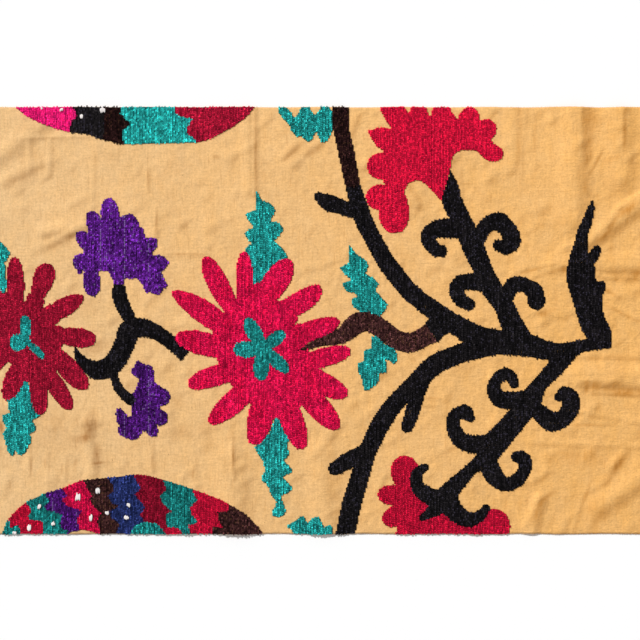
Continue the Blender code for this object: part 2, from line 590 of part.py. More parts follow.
LOWER_PALMETTE_END = Oval(501, 7.5, 17, 17.5)
LOWER_PALMETTE_BASE = (
    (426, 4, 34), (457, 2, 30), (483, -4, 28), (503, 2, 28),
)

# Ring medallions, cut by the cloth's edges: places along the outer edge, and each border's corners inwards
RING_OVERRUN = 14.0
TOP_RING_EDGE = (
    (16, 436), (24.3, 426.6), (33.6, 419.1), (46, 412.5), (63.3, 405.8), (78.2, 402.2), (96, 400.3),
    (105.5, 396), (118, 393.3), (129.5, 390.2), (143, 390.6), (174.3, 391.7), (196, 391.2), (212, 393.5),
    (225.8, 399.5), (239.9, 407.3), (252.4, 416), (261.8, 426.1), (270, 437),
)
TOP_RING_BORDERS = (
    ((78.2, 402), (78.9, 411.2), (85.4, 418), (80.5, 427)),
    ((111.5, 394), (112.5, 409), (113, 427)),
    ((132, 390.5), (129.7, 398.7), (131.3, 404.2), (139, 409.5), (128.2, 420.6), (129.7, 427)),
    ((204, 394), (195.3, 401.1), (194.3, 405.8), (201, 415), (186.8, 418.3), (182.8, 422.2), (183.6, 427)),
)
TOP_RING_COLOURS = (
    ("magenta", MAGENTA), ("black", BLACK), ("brown", BROWN), ("teal", TEAL), ("burgundy", BURGUNDY),
)
BOTTOM_RING_EDGE = (
    (8, -11), (10.7, 0), (13.4, 9.3), (19.6, 18.2), (25.9, 24.9), (33.9, 31.2), (41.9, 35.2), (51.8, 39.7),
    (68.7, 44.6), (87.5, 52.8), (97.3, 53.8), (113.4, 55.7), (137.5, 58.3), (151.4, 58.4), (169.3, 54.4),
    (188, 48.8), (199.6, 44.6), (220, 37.4), (238.9, 28.5), (254, 18.2), (263, 9.3), (270.5, 0.5),
    (279, -11),
)
BOTTOM_RING_BORDERS = (
    ((17, 15), (18.3, 6.5), (27, 9.5), (27.8, 6), (28, -2)),
    ((34.3, 31.2), (39.7, 23.6), (36.6, 18.2), (37.5, 14.7), (43.7, 13.3), (51.8, 13.3), (50.9, 6.6),
     (50.7, -2)),
    ((54, 39), (58, 33), (52.6, 27.6), (55.3, 23.2), (65.1, 21.8), (70.5, 19.1), (67.8, 10.2), (70.5, 4.9),
     (76.8, 3.5), (74, -2)),
    ((70.5, 44.5), (75.9, 37.9), (70.5, 34.3), (74, 29), (79.4, 26.7), (89.7, 23.2), (84.8, 13.8),
     (87, 8.4), (87, -2)),
    ((91.5, 53.1), (100, 38.3), (97.7, 34.3), (102.6, 26.3), (109.8, 20.5), (104.9, 12.9), (107.1, 7.5),
     (108.9, -2)),
    ((115.6, 55.7), (121.8, 48.6), (121.4, 42.4), (116, 38.3), (118.7, 32.5), (125.9, 28.5), (125, 26.3),
     (117.4, 22.7), (119.6, 16.5), (127.6, 9.3), (122.7, -2)),
    ((142, 58), (149.2, 45.9), (142.9, 39.7), (149.6, 31.6), (154, 26.3), (147.4, 19.1), (152.3, 13.3),
     (158, -2)),
    ((170.6, 54), (174.6, 44.6), (167.9, 37.9), (170, 31.6), (179.5, 22.3), (173.7, 19.1), (174.6, 9.3),
     (182, -2)),
    ((200.3, 44), (205.4, 33.4), (197.8, 26.3), (200.5, 19.1), (206.3, 12), (196.9, 8.4), (199.6, -2)),
    ((237.5, 29), (235.8, 22.3), (225.5, 22.3), (226.4, 14.7), (231.8, 5.7), (220.1, 7.5), (221.5, -2)),
)
BOTTOM_RING_COLOURS = (
    ("teal_1", TEAL), ("red_1", CRIMSON), ("teal_2", TEAL), ("purple", PURPLE), ("pink", PINK),
    ("brown_1", BROWN), ("navy", NAVY), ("burgundy", BURGUNDY), ("teal_3", TEAL), ("red_2", CRIMSON),
    ("brown_2", BROWN),
)
BOTTOM_RING_OPENING = Oval(90.5, -28.2, 32.3, 32.3)
INNER_TEAL = Oval(155.5, -7, 19, 19)
INNER_RED = Oval(180, -3, 11.5, 9.5)


def ring_lines(edge, borders):
    """The borders between a ring's colours, each drawn out past both its ends, and one beyond each end."""
    inwards = Vector((0.0, borders[0][-1][1] - borders[0][0][1])).normalized() * RING_OVERRUN
    lines = []
    for corners in borders:
        line = patch(corners)
        lines.append([line[0] - inwards] + line + [line[-1] + inwards])
    heights = sorted(point.y for line in lines for point in line)
    ends = [Vector((x, y)) for x in (edge[0][0] - RING_OVERRUN, edge[-1][0] + RING_OVERRUN)
            for y in (heights[0], heights[-1])]
    if inwards.y < 0:
        ends = [ends[1], ends[0], ends[3], ends[2]]
    return [ends[:2]] + lines + [ends[2:]]


def make_ring(title, edge, borders, colours, cuts, sew):
    """The colour blocks of one ring medallion, each clear of the next."""
    outline = [station.xy for station in smooth_stations([Station(x, y, 0.0) for x, y in edge])]
    lines = ring_lines(edge, borders)
    wedges = [before + after[::-1] for before, after in zip(lines, lines[1:])]
    for index, (shade, colour) in enumerate(colours):
        sew(f"{title}_{shade}", colour, [wedges[index]], cuts + wedges[index + 1:index + 2], [outline])


def make_embroidery(layer, collection):
    """Every block of stitching; where two meet, the lower one is cut clear of the upper one."""

    def sew(name, colour, shapes, cuts=(), clips=()):
        embroider(name, colour, layer, collection, shapes, cuts, clips)

    pink_eye = flower(PINK_CENTRE, PINK_EYE)
    pink = flower(PINK_CENTRE, PINK_PETALS, PINK_FEET)
    brown_stem = stroke(BROWN_STEM, round_end=False)
    burgundy_eye = flower(BURGUNDY_CENTRE, BURGUNDY_EYE)
    burgundy = flower(BURGUNDY_CENTRE, BURGUNDY_PETALS, BURGUNDY_FEET)
    palmette = lobes(PALMETTE_LOBES) + [patch(PALMETTE_BODY)] + stroke(PALMETTE_NECK, round_end=False)
    small_stem = stroke(SMALL_STEM, round_end=False) + strokes((SMALL_STEM_NECK, SMALL_STEM_TWIG))
    bud = lobes(BUD_LOBES) + [oval_outline(BUD_BODY)] + stroke(BUD_STEM, round_end=False)
    sew("pink_flower_eye", TEAL, pink_eye)
    sew("brown_stem", BROWN, brown_stem)
    sew("pink_flower", PINK, pink, pink_eye + brown_stem)
    sew("burgundy_flower_eye", TEAL, burgundy_eye)
    sew("burgundy_flower", BURGUNDY, burgundy, burgundy_eye + small_stem)
    sew("purple_palmette", PURPLE, palmette)
    sew("small_stem", BLACK, small_stem, palmette + pink)
    sew("purple_bud", PURPLE, bud, small_stem)

    sew("leaf_above_pink", TEAL, [swelling(LEAF_ABOVE_PINK)], pink)
    sew("leaf_below_pink", TEAL, [swelling(LEAF_BELOW_PINK)], pink)
    sew("leaf_above_burgundy", TEAL, [swelling(LEAF_ABOVE_BURGUNDY)], burgundy)
    sew("leaf_below_burgundy", TEAL, [swelling(LEAF_BELOW_BURGUNDY)], burgundy)
    sew("leaf_above_brown", TEAL, [swelling(LEAF_ABOVE_BROWN)], brown_stem)
    sew("leaf_below_brown", TEAL, [swelling(LEAF_BELOW_BROWN)], brown_stem)

    vine_upper = stroke(VINE_UPPER, round_end=False)
    main_vine = (stroke(VINE_MAIN, round_end=False) + stroke(VINE_FORK, round_end=False)
                 + strokes((VINE_LOWER, VINE_TWIG, VINE_RIGHT_SPUR, VINE_LEFT_SPUR)))
    blade = stroke(BLADE_SPINE, round_end=False) + lobes(BLADE_TEETH)
    upper_stem = stroke(UPPER_STEM, round_end=False) + strokes(UPPER_CURLS)
    lower_stem = stroke(LOWER_STEM, round_end=False) + strokes(LOWER_CURLS) + strokes(CALYX_ARMS)
    sew("vine_upper", BROWN, vine_upper)
    sew("main_vine", BLACK, main_vine, vine_upper + brown_stem)
    sew("blade_leaf", BLACK, blade, main_vine)
    sew("upper_side_stem", BLACK, upper_stem, main_vine)
    sew("lower_side_stem", BLACK, lower_stem, main_vine)
    sew("leaf_at_top", TEAL, [swelling(LEAF_AT_TOP)], vine_upper)
    sew("leaf_at_bottom", TEAL, [swelling(LEAF_AT_BOTTOM)], main_vine)

    upper_palmette = [lobe_outline(Lobe(*row)) for row in UPPER_PALMETTE_LOBES]
    upper_palmette.append(swelling(UPPER_PALMETTE_BODY))
    lower_palmette = (lobes(LOWER_PALMETTE_LOBES, PETAL_TIP) + [oval_outline(LOWER_PALMETTE_BODY)]
                      + [oval_outline(LOWER_PALMETTE_END)] + stroke(LOWER_PALMETTE_BASE, round_end=False))
    sew("upper_palmette", CRIMSON, upper_palmette, upper_stem)
    sew("lower_palmette", CRIMSON, lower_palmette, lower_stem)

    make_ring("top_ring", TOP_RING_EDGE, TOP_RING_BORDERS, TOP_RING_COLOURS, [], sew)
    inner_teal, inner_red = oval_outline(INNER_TEAL), oval_outline(INNER_RED)
    sew("bottom_ring_inner_teal", TEAL, [inner_teal])
    sew("bottom_ring_inner_red", CRIMSON, [inner_red], [inner_teal])
    inside = [oval_outline(BOTTOM_RING_OPENING), inner_teal, inner_red]
    make_ring("bottom_ring", BOTTOM_RING_EDGE, BOTTOM_RING_BORDERS, BOTTOM_RING_COLOURS, inside, sew)


def main():
    """Clears the scene and builds the cloth and its embroidery."""
    for thing in list(bpy.data.objects):
        bpy.data.objects.remove(thing)
    textile = bpy.data.collections.new("suzani_textile")
    cutters = bpy.data.collections.new("cutters")
    for collection in (textile, cutters):
        bpy.context.scene.collection.children.link(collection)
    surface = cloth_surface()
    make_ground_cloth(surface, textile)
    layer = make_thread_layer(surface, cutters)
    surface.free()
    make_embroidery(layer, textile)


main()
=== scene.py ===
"""Looks of a cut length of suzani, seen from straight above.

An ochre cotton ground cloth lies in soft folds. Flowers, palmettes, leaves, a branching vine and two
ring medallions are sewn on it in upright rows of laid thread, each row tied down by short slanted
stitches. Sizes are in millimetres and are turned into metres where meshes and materials are made. Places
count from the cloth's lower left corner, x to the right and y up the cloth.
"""

import logging
import math
from dataclasses import dataclass, field
from enum import Enum
from typing import Any, Iterable, Sequence, Union

import bmesh
import bpy
import numpy as np
from mathutils import Matrix, Vector


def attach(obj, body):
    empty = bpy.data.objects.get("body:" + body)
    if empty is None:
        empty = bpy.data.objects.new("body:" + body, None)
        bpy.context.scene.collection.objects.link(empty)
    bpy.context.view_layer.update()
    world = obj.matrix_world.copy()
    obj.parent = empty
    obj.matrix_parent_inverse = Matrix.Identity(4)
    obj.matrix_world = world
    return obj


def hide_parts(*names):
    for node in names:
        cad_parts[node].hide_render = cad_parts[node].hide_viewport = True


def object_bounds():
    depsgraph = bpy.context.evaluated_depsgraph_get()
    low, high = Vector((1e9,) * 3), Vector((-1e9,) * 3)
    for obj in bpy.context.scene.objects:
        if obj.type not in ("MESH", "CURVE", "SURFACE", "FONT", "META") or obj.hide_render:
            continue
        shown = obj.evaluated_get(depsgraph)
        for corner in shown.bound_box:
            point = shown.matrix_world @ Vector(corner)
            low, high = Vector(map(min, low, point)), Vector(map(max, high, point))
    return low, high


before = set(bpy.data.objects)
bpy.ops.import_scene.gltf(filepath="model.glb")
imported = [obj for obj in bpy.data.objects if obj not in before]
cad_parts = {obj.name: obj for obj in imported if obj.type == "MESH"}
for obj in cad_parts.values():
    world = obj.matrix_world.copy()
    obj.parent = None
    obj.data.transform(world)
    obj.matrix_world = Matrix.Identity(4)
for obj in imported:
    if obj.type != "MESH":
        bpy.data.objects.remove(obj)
CAD_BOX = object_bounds()

LOG = logging.getLogger("suzani")
MM = 0.001
BAKE_MAP = "OFBake"
BAKE_MARGIN = 0.01
THREAD_MAP = "thread"

CLOTH_WIDTH = (CAD_BOX[1].x - CAD_BOX[0].x) / MM
CLOTH_LENGTH = (CAD_BOX[1].y - CAD_BOX[0].y) / MM
CLOTH_THICKNESS = 1.2
# Height of the laid threads' middle over the cloth's underside
THREAD_BASE = 1.5
# How far a row looks to its left, so that no row is lost between two blocks that meet
NEXT_BLOCK = 0.38
# How far the cut edges wander, and over what length
EDGE_WAVER = 0.5
WAVER_PITCH = 82.0


@dataclass(frozen=True)
class Fold:
    """One soft ridge of the cloth: its crest's two ends, how far each side reaches, and its height."""

    x1: float
    y1: float
    x2: float
    y2: float
    reach: float
    height: float


# The main folds, where the solid cloth has them and up to a third lower
MAIN_FOLDS = (
    Fold(584, 161, 664, 158, 15, 3.1),
    Fold(560, 270, 664, 272, 14, 2.4),
    Fold(590, 288, 664, 342, 14, 2.9),
    Fold(580, 436, 582, 316, 24, 3.6),
    Fold(626, 436, 630, 356, 20, 2.8),
    Fold(606, 26, 664, 66, 16, 2.8),
    Fold(536, -8, 548, 34, 11, 2.2),
    Fold(-2, 372, 52, 412, 14, 1.6),
    Fold(50, 303, 90, 308, 11, 1.8),
    Fold(94, 115, 100, 62, 10, 1.5),
    Fold(236, 76, 244, -10, 24, 2.6),
    Fold(452, 376, 468, 282, 18, 2.0),
    Fold(328, 80, 334, -10, 20, 2.4),
    Fold(254, 436, 257, 344, 10, 1.2),
    Fold(-4, 124, 28, 129, 12, 1.6),
)
# Lesser creases, too slight for the solid cloth
CREASES = (
    Fold(263, 436, 263, 340, 3.5, 0.7),
    Fold(10, 352, 46, 372, 9, 0.8),
    Fold(37, 394, 37, 362, 5, 0.5),
    Fold(58, 395, 57, 360, 5, 0.6),
    Fold(28, 396, 95, 398, 4, 0.4),
    Fold(56, 290, 84, 304, 6, 0.8),
    Fold(101, 380, 101, 327, 4, 0.35),
    Fold(156, 367, 156, 344, 3.5, 0.45),
    Fold(163, 327, 164, 297, 3.5, 0.45),
    Fold(175, 280, 215, 280, 3.5, 0.4),
    Fold(290, 377, 304, 390, 6, 0.9),
    Fold(313, 382, 328, 392, 6, 0.9),
    Fold(358, 398, 366, 420, 5, 0.6),
    Fold(412, 350, 424, 330, 7, 1.2),
    Fold(520, 436, 522, 375, 10, 0.9),
    Fold(557, 436, 560, 372, 8, 0.7),
    Fold(602, 298, 615, 311, 4, 0.5),
    Fold(614, 309, 627, 328, 4.5, 0.9),
    Fold(625, 326, 651, 341, 4.5, 1.0),
    Fold(631, 436, 630, 392, 4, 0.5),
    Fold(588, 436, 589, 380, 5, 0.5),
    Fold(611, 389, 597, 363, 3.5, 0.45),
    Fold(534, 436, 527, 340, 4, 0.35),
    Fold(528, 264, 573, 275, 3.5, 0.45),
    Fold(536, 256, 570, 268, 3.5, 0.35),
    Fold(600, 260, 622, 256, 3.5, 0.45),
    Fold(618, 257, 660, 256, 4, 0.6),
    Fold(618, 266, 660, 264, 10, 1.1),
    Fold(612, 246, 626, 238, 4, 0.7),
    Fold(618, 228, 645, 215, 4, 0.8),
    Fold(586, 151, 660, 149, 9, 1.8),
    Fold(583, 178, 652, 176, 4, 0.6),
    Fold(588, 154, 620, 154, 3.5, 0.35),
    Fold(600, 142, 660, 139, 3.5, 0.8),
    Fold(555, 111, 622, 111, 3.5, 0.3),
    Fold(575, 124, 650, 112, 5, 0.7),
    Fold(538, 92, 648, 88, 5, 0.7),
    Fold(533, 8, 546, 38, 6, 1.0),
    Fold(546, 36, 562, 45, 5, 0.5),
    Fold(580, 4, 594, 46, 4.5, 0.5),
    Fold(590, 68, 607, 94, 7, 0.5),
    Fold(612, 54, 632, 82, 7, 0.7),
    Fold(431, 137, 451, 134, 3.5, 0.4),
    Fold(430, 130, 454, 128, 3.5, 0.4),
    Fold(36, 90, 36, 60, 4, 0.5),
    Fold(55, 80, 55, 52, 4, 0.5),
    Fold(73, 76, 72, 54, 4, 0.5),
    Fold(160, 86, 160, 64, 4, 0.5),
    Fold(202, 74, 203, 48, 4, 0.5),
    Fold(240, 98, 241, 56, 4, 0.8),
    Fold(88, 110, 100, 114, 6, 0.9),
    Fold(318, 76, 338, 98, 7, 0.8),
    Fold(332, 236, 342, 212, 5, 0.6),
    Fold(545, 224, 572, 218, 6, 0.8),
)


@dataclass(frozen=True)
class StainOrShade:
    """One brown mark on the cloth, where it is stained or where painted shade lies along a fold or crease:
    its middle, reach along and across, turn in degrees, and strength.
    """

    x: float
    y: float
    along: float
    across: float
    turn: float
    strength: float


# Real brown stains, and painted shade along the folds and creases: the thin lines and most marks at the
# right are painted shade
STAINS_AND_SHADE = (
    StainOrShade(97, 108, 20, 10, 75, 0.50),
    StainOrShade(92, 96, 14, 6, 10, 0.50),
    StainOrShade(105, 76, 15, 7, 85, 0.65),
    StainOrShade(106, 71, 10, 2, 5, 0.55),
    StainOrShade(83, 69, 10, 3, 80, 0.45),
    StainOrShade(39, 68, 11, 2, 88, 0.50),
    StainOrShade(53, 70, 8, 2, 90, 0.50),
    StainOrShade(201, 61, 10, 2, 85, 0.50),
    StainOrShade(241, 80, 24, 2, 89, 0.55),
    StainOrShade(160, 76, 14, 2, 90, 0.35),
    StainOrShade(9, 108, 10, 6, 80, 0.60),
    StainOrShade(8, 84, 8, 4, 90, 0.35),
    StainOrShade(9, 105, 9, 3, 90, 0.60),
    StainOrShade(115, 71, 8, 2, 90, 0.35),
    StainOrShade(70, 64, 8, 2, 88, 0.40),
    StainOrShade(60, 100, 60, 34, 0, 0.16),
    StainOrShade(187, 101, 18, 9, 10, 0.22),
    StainOrShade(182, 134, 20, 13, 20, 0.25),
    StainOrShade(168, 207, 15, 9, 0, 0.22),
    StainOrShade(104, 188, 22, 10, 20, 0.35),
    StainOrShade(95, 230, 20, 13, 20, 0.18),
    StainOrShade(225, 377, 5, 3, 0, 0.55),
    StainOrShade(32, 356, 28, 13, 28, 0.28),
    StainOrShade(46, 378, 20, 14, 20, 0.14),
    StainOrShade(70, 292, 24, 8, 22, 0.32),
    StainOrShade(61, 396, 40, 2, 1, 0.25),
    StainOrShade(263, 384, 60, 2, 90, 0.50),
    StainOrShade(156, 355, 16, 2, 90, 0.35),
    StainOrShade(164, 312, 20, 2, 88, 0.35),
    StainOrShade(195, 280, 26, 2, 0, 0.35),
    StainOrShade(300, 381, 16, 10, 45, 0.28),
    StainOrShade(321, 385, 14, 8, 40, 0.32),
    StainOrShade(362, 408, 18, 5, 65, 0.25),
    StainOrShade(421, 338, 20, 8, 115, 0.45),
    StainOrShade(571, 265, 7, 5, 0, 0.60),
    StainOrShade(542, 264, 16, 2, 16, 0.40),
    StainOrShade(554, 222, 13, 5, 15, 0.45),
    StainOrShade(564, 237, 20, 3, 90, 0.25),
    StainOrShade(528, 390, 60, 5, 88, 0.25),
    StainOrShade(543, 398, 28, 3, 90, 0.25),
    StainOrShade(600, 414, 22, 12, 90, 0.38),
    StainOrShade(596, 388, 44, 7, 88, 0.28),
    StainOrShade(593, 345, 30, 5, 90, 0.22),
    StainOrShade(632, 404, 32, 4, 90, 0.40),
    StainOrShade(622, 376, 14, 5, 20, 0.35),
    StainOrShade(606, 374, 14, 2, 63, 0.40),
    StainOrShade(612, 298, 12, 3, 42, 0.40),
    StainOrShade(621, 311, 13, 3.5, 58, 0.60),
    StainOrShade(636, 325, 16, 6, 36, 0.95),
    StainOrShade(609, 256, 8, 3, 170, 0.45),
    StainOrShade(616, 244, 6, 3, 10, 0.45),
    StainOrShade(636, 257, 24, 9, 4, 0.42),
    StainOrShade(646, 262, 8, 14, 0, 0.25),
    StainOrShade(630, 221, 22, 3, 152, 0.40),
    StainOrShade(619, 241, 12, 3, 148, 0.35),
    StainOrShade(625, 177, 32, 5, 0, 0.35),
    StainOrShade(604, 147, 18, 10, 0, 0.40),
    StainOrShade(594, 147, 10, 3, 90, 0.40),
    StainOrShade(634, 141, 26, 6, 178, 0.85),
    StainOrShade(597, 109, 26, 2, 0, 0.30),
    StainOrShade(590, 76, 46, 13, 0, 0.32),
    StainOrShade(627, 70, 22, 7, 55, 0.48),
    StainOrShade(604, 88, 20, 5, 50, 0.22),
    StainOrShade(553, 35, 14, 4, 45, 0.42),
    StainOrShade(545, 21, 18, 7, 62, 0.50),
    StainOrShade(593, 38, 20, 3, 66, 0.32),
    StainOrShade(602, 22, 24, 16, 80, 0.24),
    StainOrShade(441, 136, 16, 2, 175, 0.35),
)


class Rambling:
    """A smooth random field made of plane waves, about one high and one low."""

    def __init__(self, seed: int, shortest: float, longest: float, waves: int = 28) -> None:
        """Draws the waves.

        Args:
            seed: Start of the random draws.
            shortest: Shortest wavelength in millimetres.
            longest: Longest wavelength in millimetres.
            waves: How many waves are added.
        """
        draw = np.random.default_rng(seed)
        pitch = 2 * math.pi / draw.uniform(shortest, longest, waves)
        heading = draw.uniform(0, 2 * math.pi, waves)
        self.across = pitch * np.cos(heading)
        self.along = pitch * np.sin(heading)
        self.phase = draw.uniform(0, 2 * math.pi, waves)
        self.gain = math.sqrt(2 / waves)

    def at(self, x: np.ndarray, y: np.ndarray) -> np.ndarray:
        """Reads the field.

        Args:
            x: Places across the cloth.
            y: Places up the cloth.

        Returns:
            The field's value at each place.
        """
        total = np.zeros_like(x)
        for across, along, phase in zip(self.across, self.along, self.phase):
            total += np.cos(across * x + along * y + phase)
        return total * self.gain


def fold_height(x: np.ndarray, y: np.ndarray, folds: Sequence[Fold]) -> np.ndarray:
    """Works out how high folds lift the cloth's underside.

    Args:
        x: Places across the cloth.
        y: Places up the cloth.
        folds: The ridges, which add up where they meet.

    Returns:
        The height at each place.
    """
    height = np.zeros_like(x)
    for fold in folds:
        run_x, run_y = fold.x2 - fold.x1, fold.y2 - fold.y1
        near = (np.abs(2 * x - fold.x1 - fold.x2) < abs(run_x) + 2 * fold.reach)
        near &= (np.abs(2 * y - fold.y1 - fold.y2) < abs(run_y) + 2 * fold.reach)
        off_x, off_y = x[near] - fold.x1, y[near] - fold.y1
        share = np.clip((off_x * run_x + off_y * run_y) / (run_x ** 2 + run_y ** 2), 0.0, 1.0)
        away = np.hypot(off_x - share * run_x, off_y - share * run_y)
        height[near] += fold.height * 0.5 * (1.0 + np.cos(math.pi * np.minimum(away / fold.reach, 1.0)))
    return height


@dataclass(frozen=True)
class Lie:
    """How the cloth lies on the surface: folds, creases and soft waves that grow towards the right."""

    wave: float = 0.30
    wave_at_left: float = 0.6
    wave_growth: float = 0.5
    waves: Rambling = Rambling(6, 15.0, 60.0)

    def height(self, x: np.ndarray, y: np.ndarray) -> np.ndarray:
        """Works out how high the cloth's underside is off the surface.

        Args:
            x: Places across the cloth.
            y: Places up the cloth.

        Returns:
            The height at each place.
        """
        soft = np.maximum(self.waves.at(x, y), 0.0) ** 1.5
        growth = self.wave_at_left + self.wave_growth * x / CLOTH_WIDTH
        return fold_height(x, y, MAIN_FOLDS + CREASES) + self.wave * soft * growth


def wandered(x: np.ndarray, y: np.ndarray) -> tuple[np.ndarray, np.ndarray]:
    """Moves places in where a cut edge wanders, by less and less towards the cloth's middle.

    Args:
        x: Places across the cloth.
        y: Places up the cloth.

    Returns:
        The moved places.
    """
    sway_x = EDGE_WAVER * 0.5 * (1.0 - np.cos(2.0 * math.pi * y / WAVER_PITCH))
    sway_y = EDGE_WAVER * 0.5 * (1.0 - np.cos(2.0 * math.pi * x / WAVER_PITCH))
    return x + sway_x * (1.0 - 2.0 * x / CLOTH_WIDTH), y + sway_y * (1.0 - 2.0 * y / CLOTH_LENGTH)


def to_world(x: np.ndarray, y: np.ndarray, z: np.ndarray) -> np.ndarray:
    """Places on the cloth as rows of metres from under its middle."""
    return np.stack([x - CLOTH_WIDTH / 2, y - CLOTH_LENGTH / 2, z], axis=-1) * MM


def from_world(rows: np.ndarray) -> tuple[np.ndarray, np.ndarray, np.ndarray]:
    """Rows of metres as places on the cloth in millimetres."""
    rows = rows / MM
    return rows[:, 0] + CLOTH_WIDTH / 2, rows[:, 1] + CLOTH_LENGTH / 2, rows[:, 2]


# -------------------------------------------------------------------------------------------- finishes

Value = Union["Wire", float]


@dataclass(frozen=True)
class Wire:
    """A shader value that adds Math nodes when it is used in a sum."""

    bench: "Bench"
    socket: bpy.types.NodeSocket

    def _math(self, operation: str, first: Value, second: Value) -> "Wire":
        """One Math node on two values."""
        return self.bench.add("Math", {"operation": operation}, {0: first, 1: second})

    def __add__(self, other: Value) -> "Wire":
        """Sum."""
        return self._math("ADD", self, other)

    def __radd__(self, other: Value) -> "Wire":
        """Sum."""
        return self._math("ADD", other, self)

    def __sub__(self, other: Value) -> "Wire":
        """Difference."""
        return self._math("SUBTRACT", self, other)

    def __rsub__(self, other: Value) -> "Wire":
        """Difference the other way round."""
        return self._math("SUBTRACT", other, self)

    def __mul__(self, other: Value) -> "Wire":
        """Product."""
        return self._math("MULTIPLY", self, other)

    def __pow__(self, other: Value) -> "Wire":
        """Power."""
        return self._math("POWER", self, other)

    def above(self, other: Value) -> "Wire":
        """One where this is larger than the other, else nought."""
        return self._math("GREATER_THAN", self, other)

    def sine(self) -> "Wire":
        """Sine of this, in radians."""
        return self._math("SINE", self, 0.0)

    def larger(self, other: Value) -> "Wire":
        """The larger of the two."""
        return self._math("MAXIMUM", self, other)


class Bench:
    """A material's node tree and the few ways in which nodes are added to it."""

    def __init__(self, name: str) -> None:
        """Starts a material with an empty tree.

        Args:
            name: The material's name.
        """
        self.material = bpy.data.materials.new(name)
        self.material.use_nodes = True
        self.tree = self.material.node_tree
        self.tree.nodes.clear()

    def add(self, kind: str, settings: dict[str, Any], inputs: dict[Any, Any],
            output: Union[str, int] = 0) -> Wire:
        """Adds any node.

        Args:
            kind: The node's type after ShaderNode.
            settings: Properties that are set first.
            inputs: Values or wires by the socket's name or number.
            output: Name or number of the output that is wanted.

        Returns:
            The wanted output.
        """
        node = self.tree.nodes.new("ShaderNode" + kind)
        for key, value in settings.items():
            setattr(node, key, value)
        for key, value in inputs.items():
            self._feed(self._pick(node.inputs, key), value)
        return Wire(self, self._pick(node.outputs, output))

    @staticmethod
    def _pick(sockets: Iterable[bpy.types.NodeSocket], key: Union[str, int]) -> bpy.types.NodeSocket:
        """Finds a socket.

        Args:
            sockets: A node's inputs or outputs.
            key: The socket's number or, among those in use, its name.

        Returns:
            The socket.
        """
        if isinstance(key, int):
            return sockets[key]
        return next(socket for socket in sockets if socket.enabled and socket.name == key)

    def _feed(self, socket: bpy.types.NodeSocket, value: Any) -> None:
        """Links a wire to a socket, or sets the socket's own value.

        Args:
            socket: The input.
            value: A wire, a number, a colour or a vector.
        """
        if isinstance(value, Wire):
            self.tree.links.new(value.socket, socket)
        elif socket.type == "RGBA" and len(value) == 3:
            socket.default_value = (*value, 1.0)
        else:
            socket.default_value = value

    def blend(self, factor: Value, first: Any, second: Any, mode: str = "MIX") -> Wire:
        """Mixes two colours."""
        settings = {"data_type": "RGBA", "blend_type": mode}
        return self.add("Mix", settings, {"Factor": factor, "A": first, "B": second}, "Result")

    def lit(self, colour: Wire, light: Wire) -> Wire:
        """A colour made lighter or darker by a number."""
        grey = self.add("CombineColor", {}, {0: light, 1: light, 2: light}, 0)
        return self.blend(1.0, colour, grey, "MULTIPLY")

    def places(self) -> Wire:
        """The piece's own coordinates."""
        return self.add("TexCoord", {}, {}, "Object")

    def axis(self, vector: Wire, name: str) -> Wire:
        """One axis of a vector."""
        return self.add("SeparateXYZ", {}, {"Vector": vector}, name)

    def scaled(self, vector: Wire, pitch: Sequence[float], turn: float = 0.0) -> Wire:
        """Turns coordinates into units of a pitch.

        Args:
            vector: The coordinates in metres.
            pitch: The unit along each axis, in millimetres.
            turn: Turn about Z, in radians.

        Returns:
            The new coordinates.
        """
        scale = tuple(1.0 / (size * MM) for size in pitch)
        values = {"Vector": vector, "Scale": scale, "Rotation": (0, 0, turn)}
        return self.add("Mapping", {}, values, "Vector")

    def noise(self, vector: Wire, detail: float = 2.0, roughness: float = 0.5,
              distortion: float = 0.0) -> Wire:
        """Adds noise from nought to one whose lumps are about one unit across.

        Args:
            vector: Coordinates in those units.
            detail: How many finer layers it has.
            roughness: How strong the finer layers are.
            distortion: How much its lumps are drawn out of shape.

        Returns:
            The noise.
        """
        values = {"Vector": vector, "Scale": 1.0, "Detail": detail, "Roughness": roughness,
                  "Distortion": distortion}
        return self.add("TexNoise", {}, values, 0)

    def attribute(self, name: str) -> Wire:
        """A number stored on the mesh."""
        return self.add("Attribute", {"attribute_name": name}, {}, "Fac")

    def relief(self, height: Wire, strength: float, distance: float) -> Wire:
        """A bump whose depth is given in millimetres."""
        values = {"Strength": strength, "Distance": distance * MM, "Height": height}
        return self.add("Bump", {}, values, "Normal")

    def finish(self, shader_values: dict[str, Any]) -> bpy.types.Material:
        """Adds the surface shader and the output.

        Args:
            shader_values: Values or wires by the name of the shader's socket.

        Returns:
            The finished material.
        """
        surface = self.add("BsdfPrincipled", {}, shader_values, "BSDF")
        output = self.tree.nodes.new("ShaderNodeOutputMaterial")
        self.tree.links.new(surface.socket, output.inputs["Surface"])
        return self.material


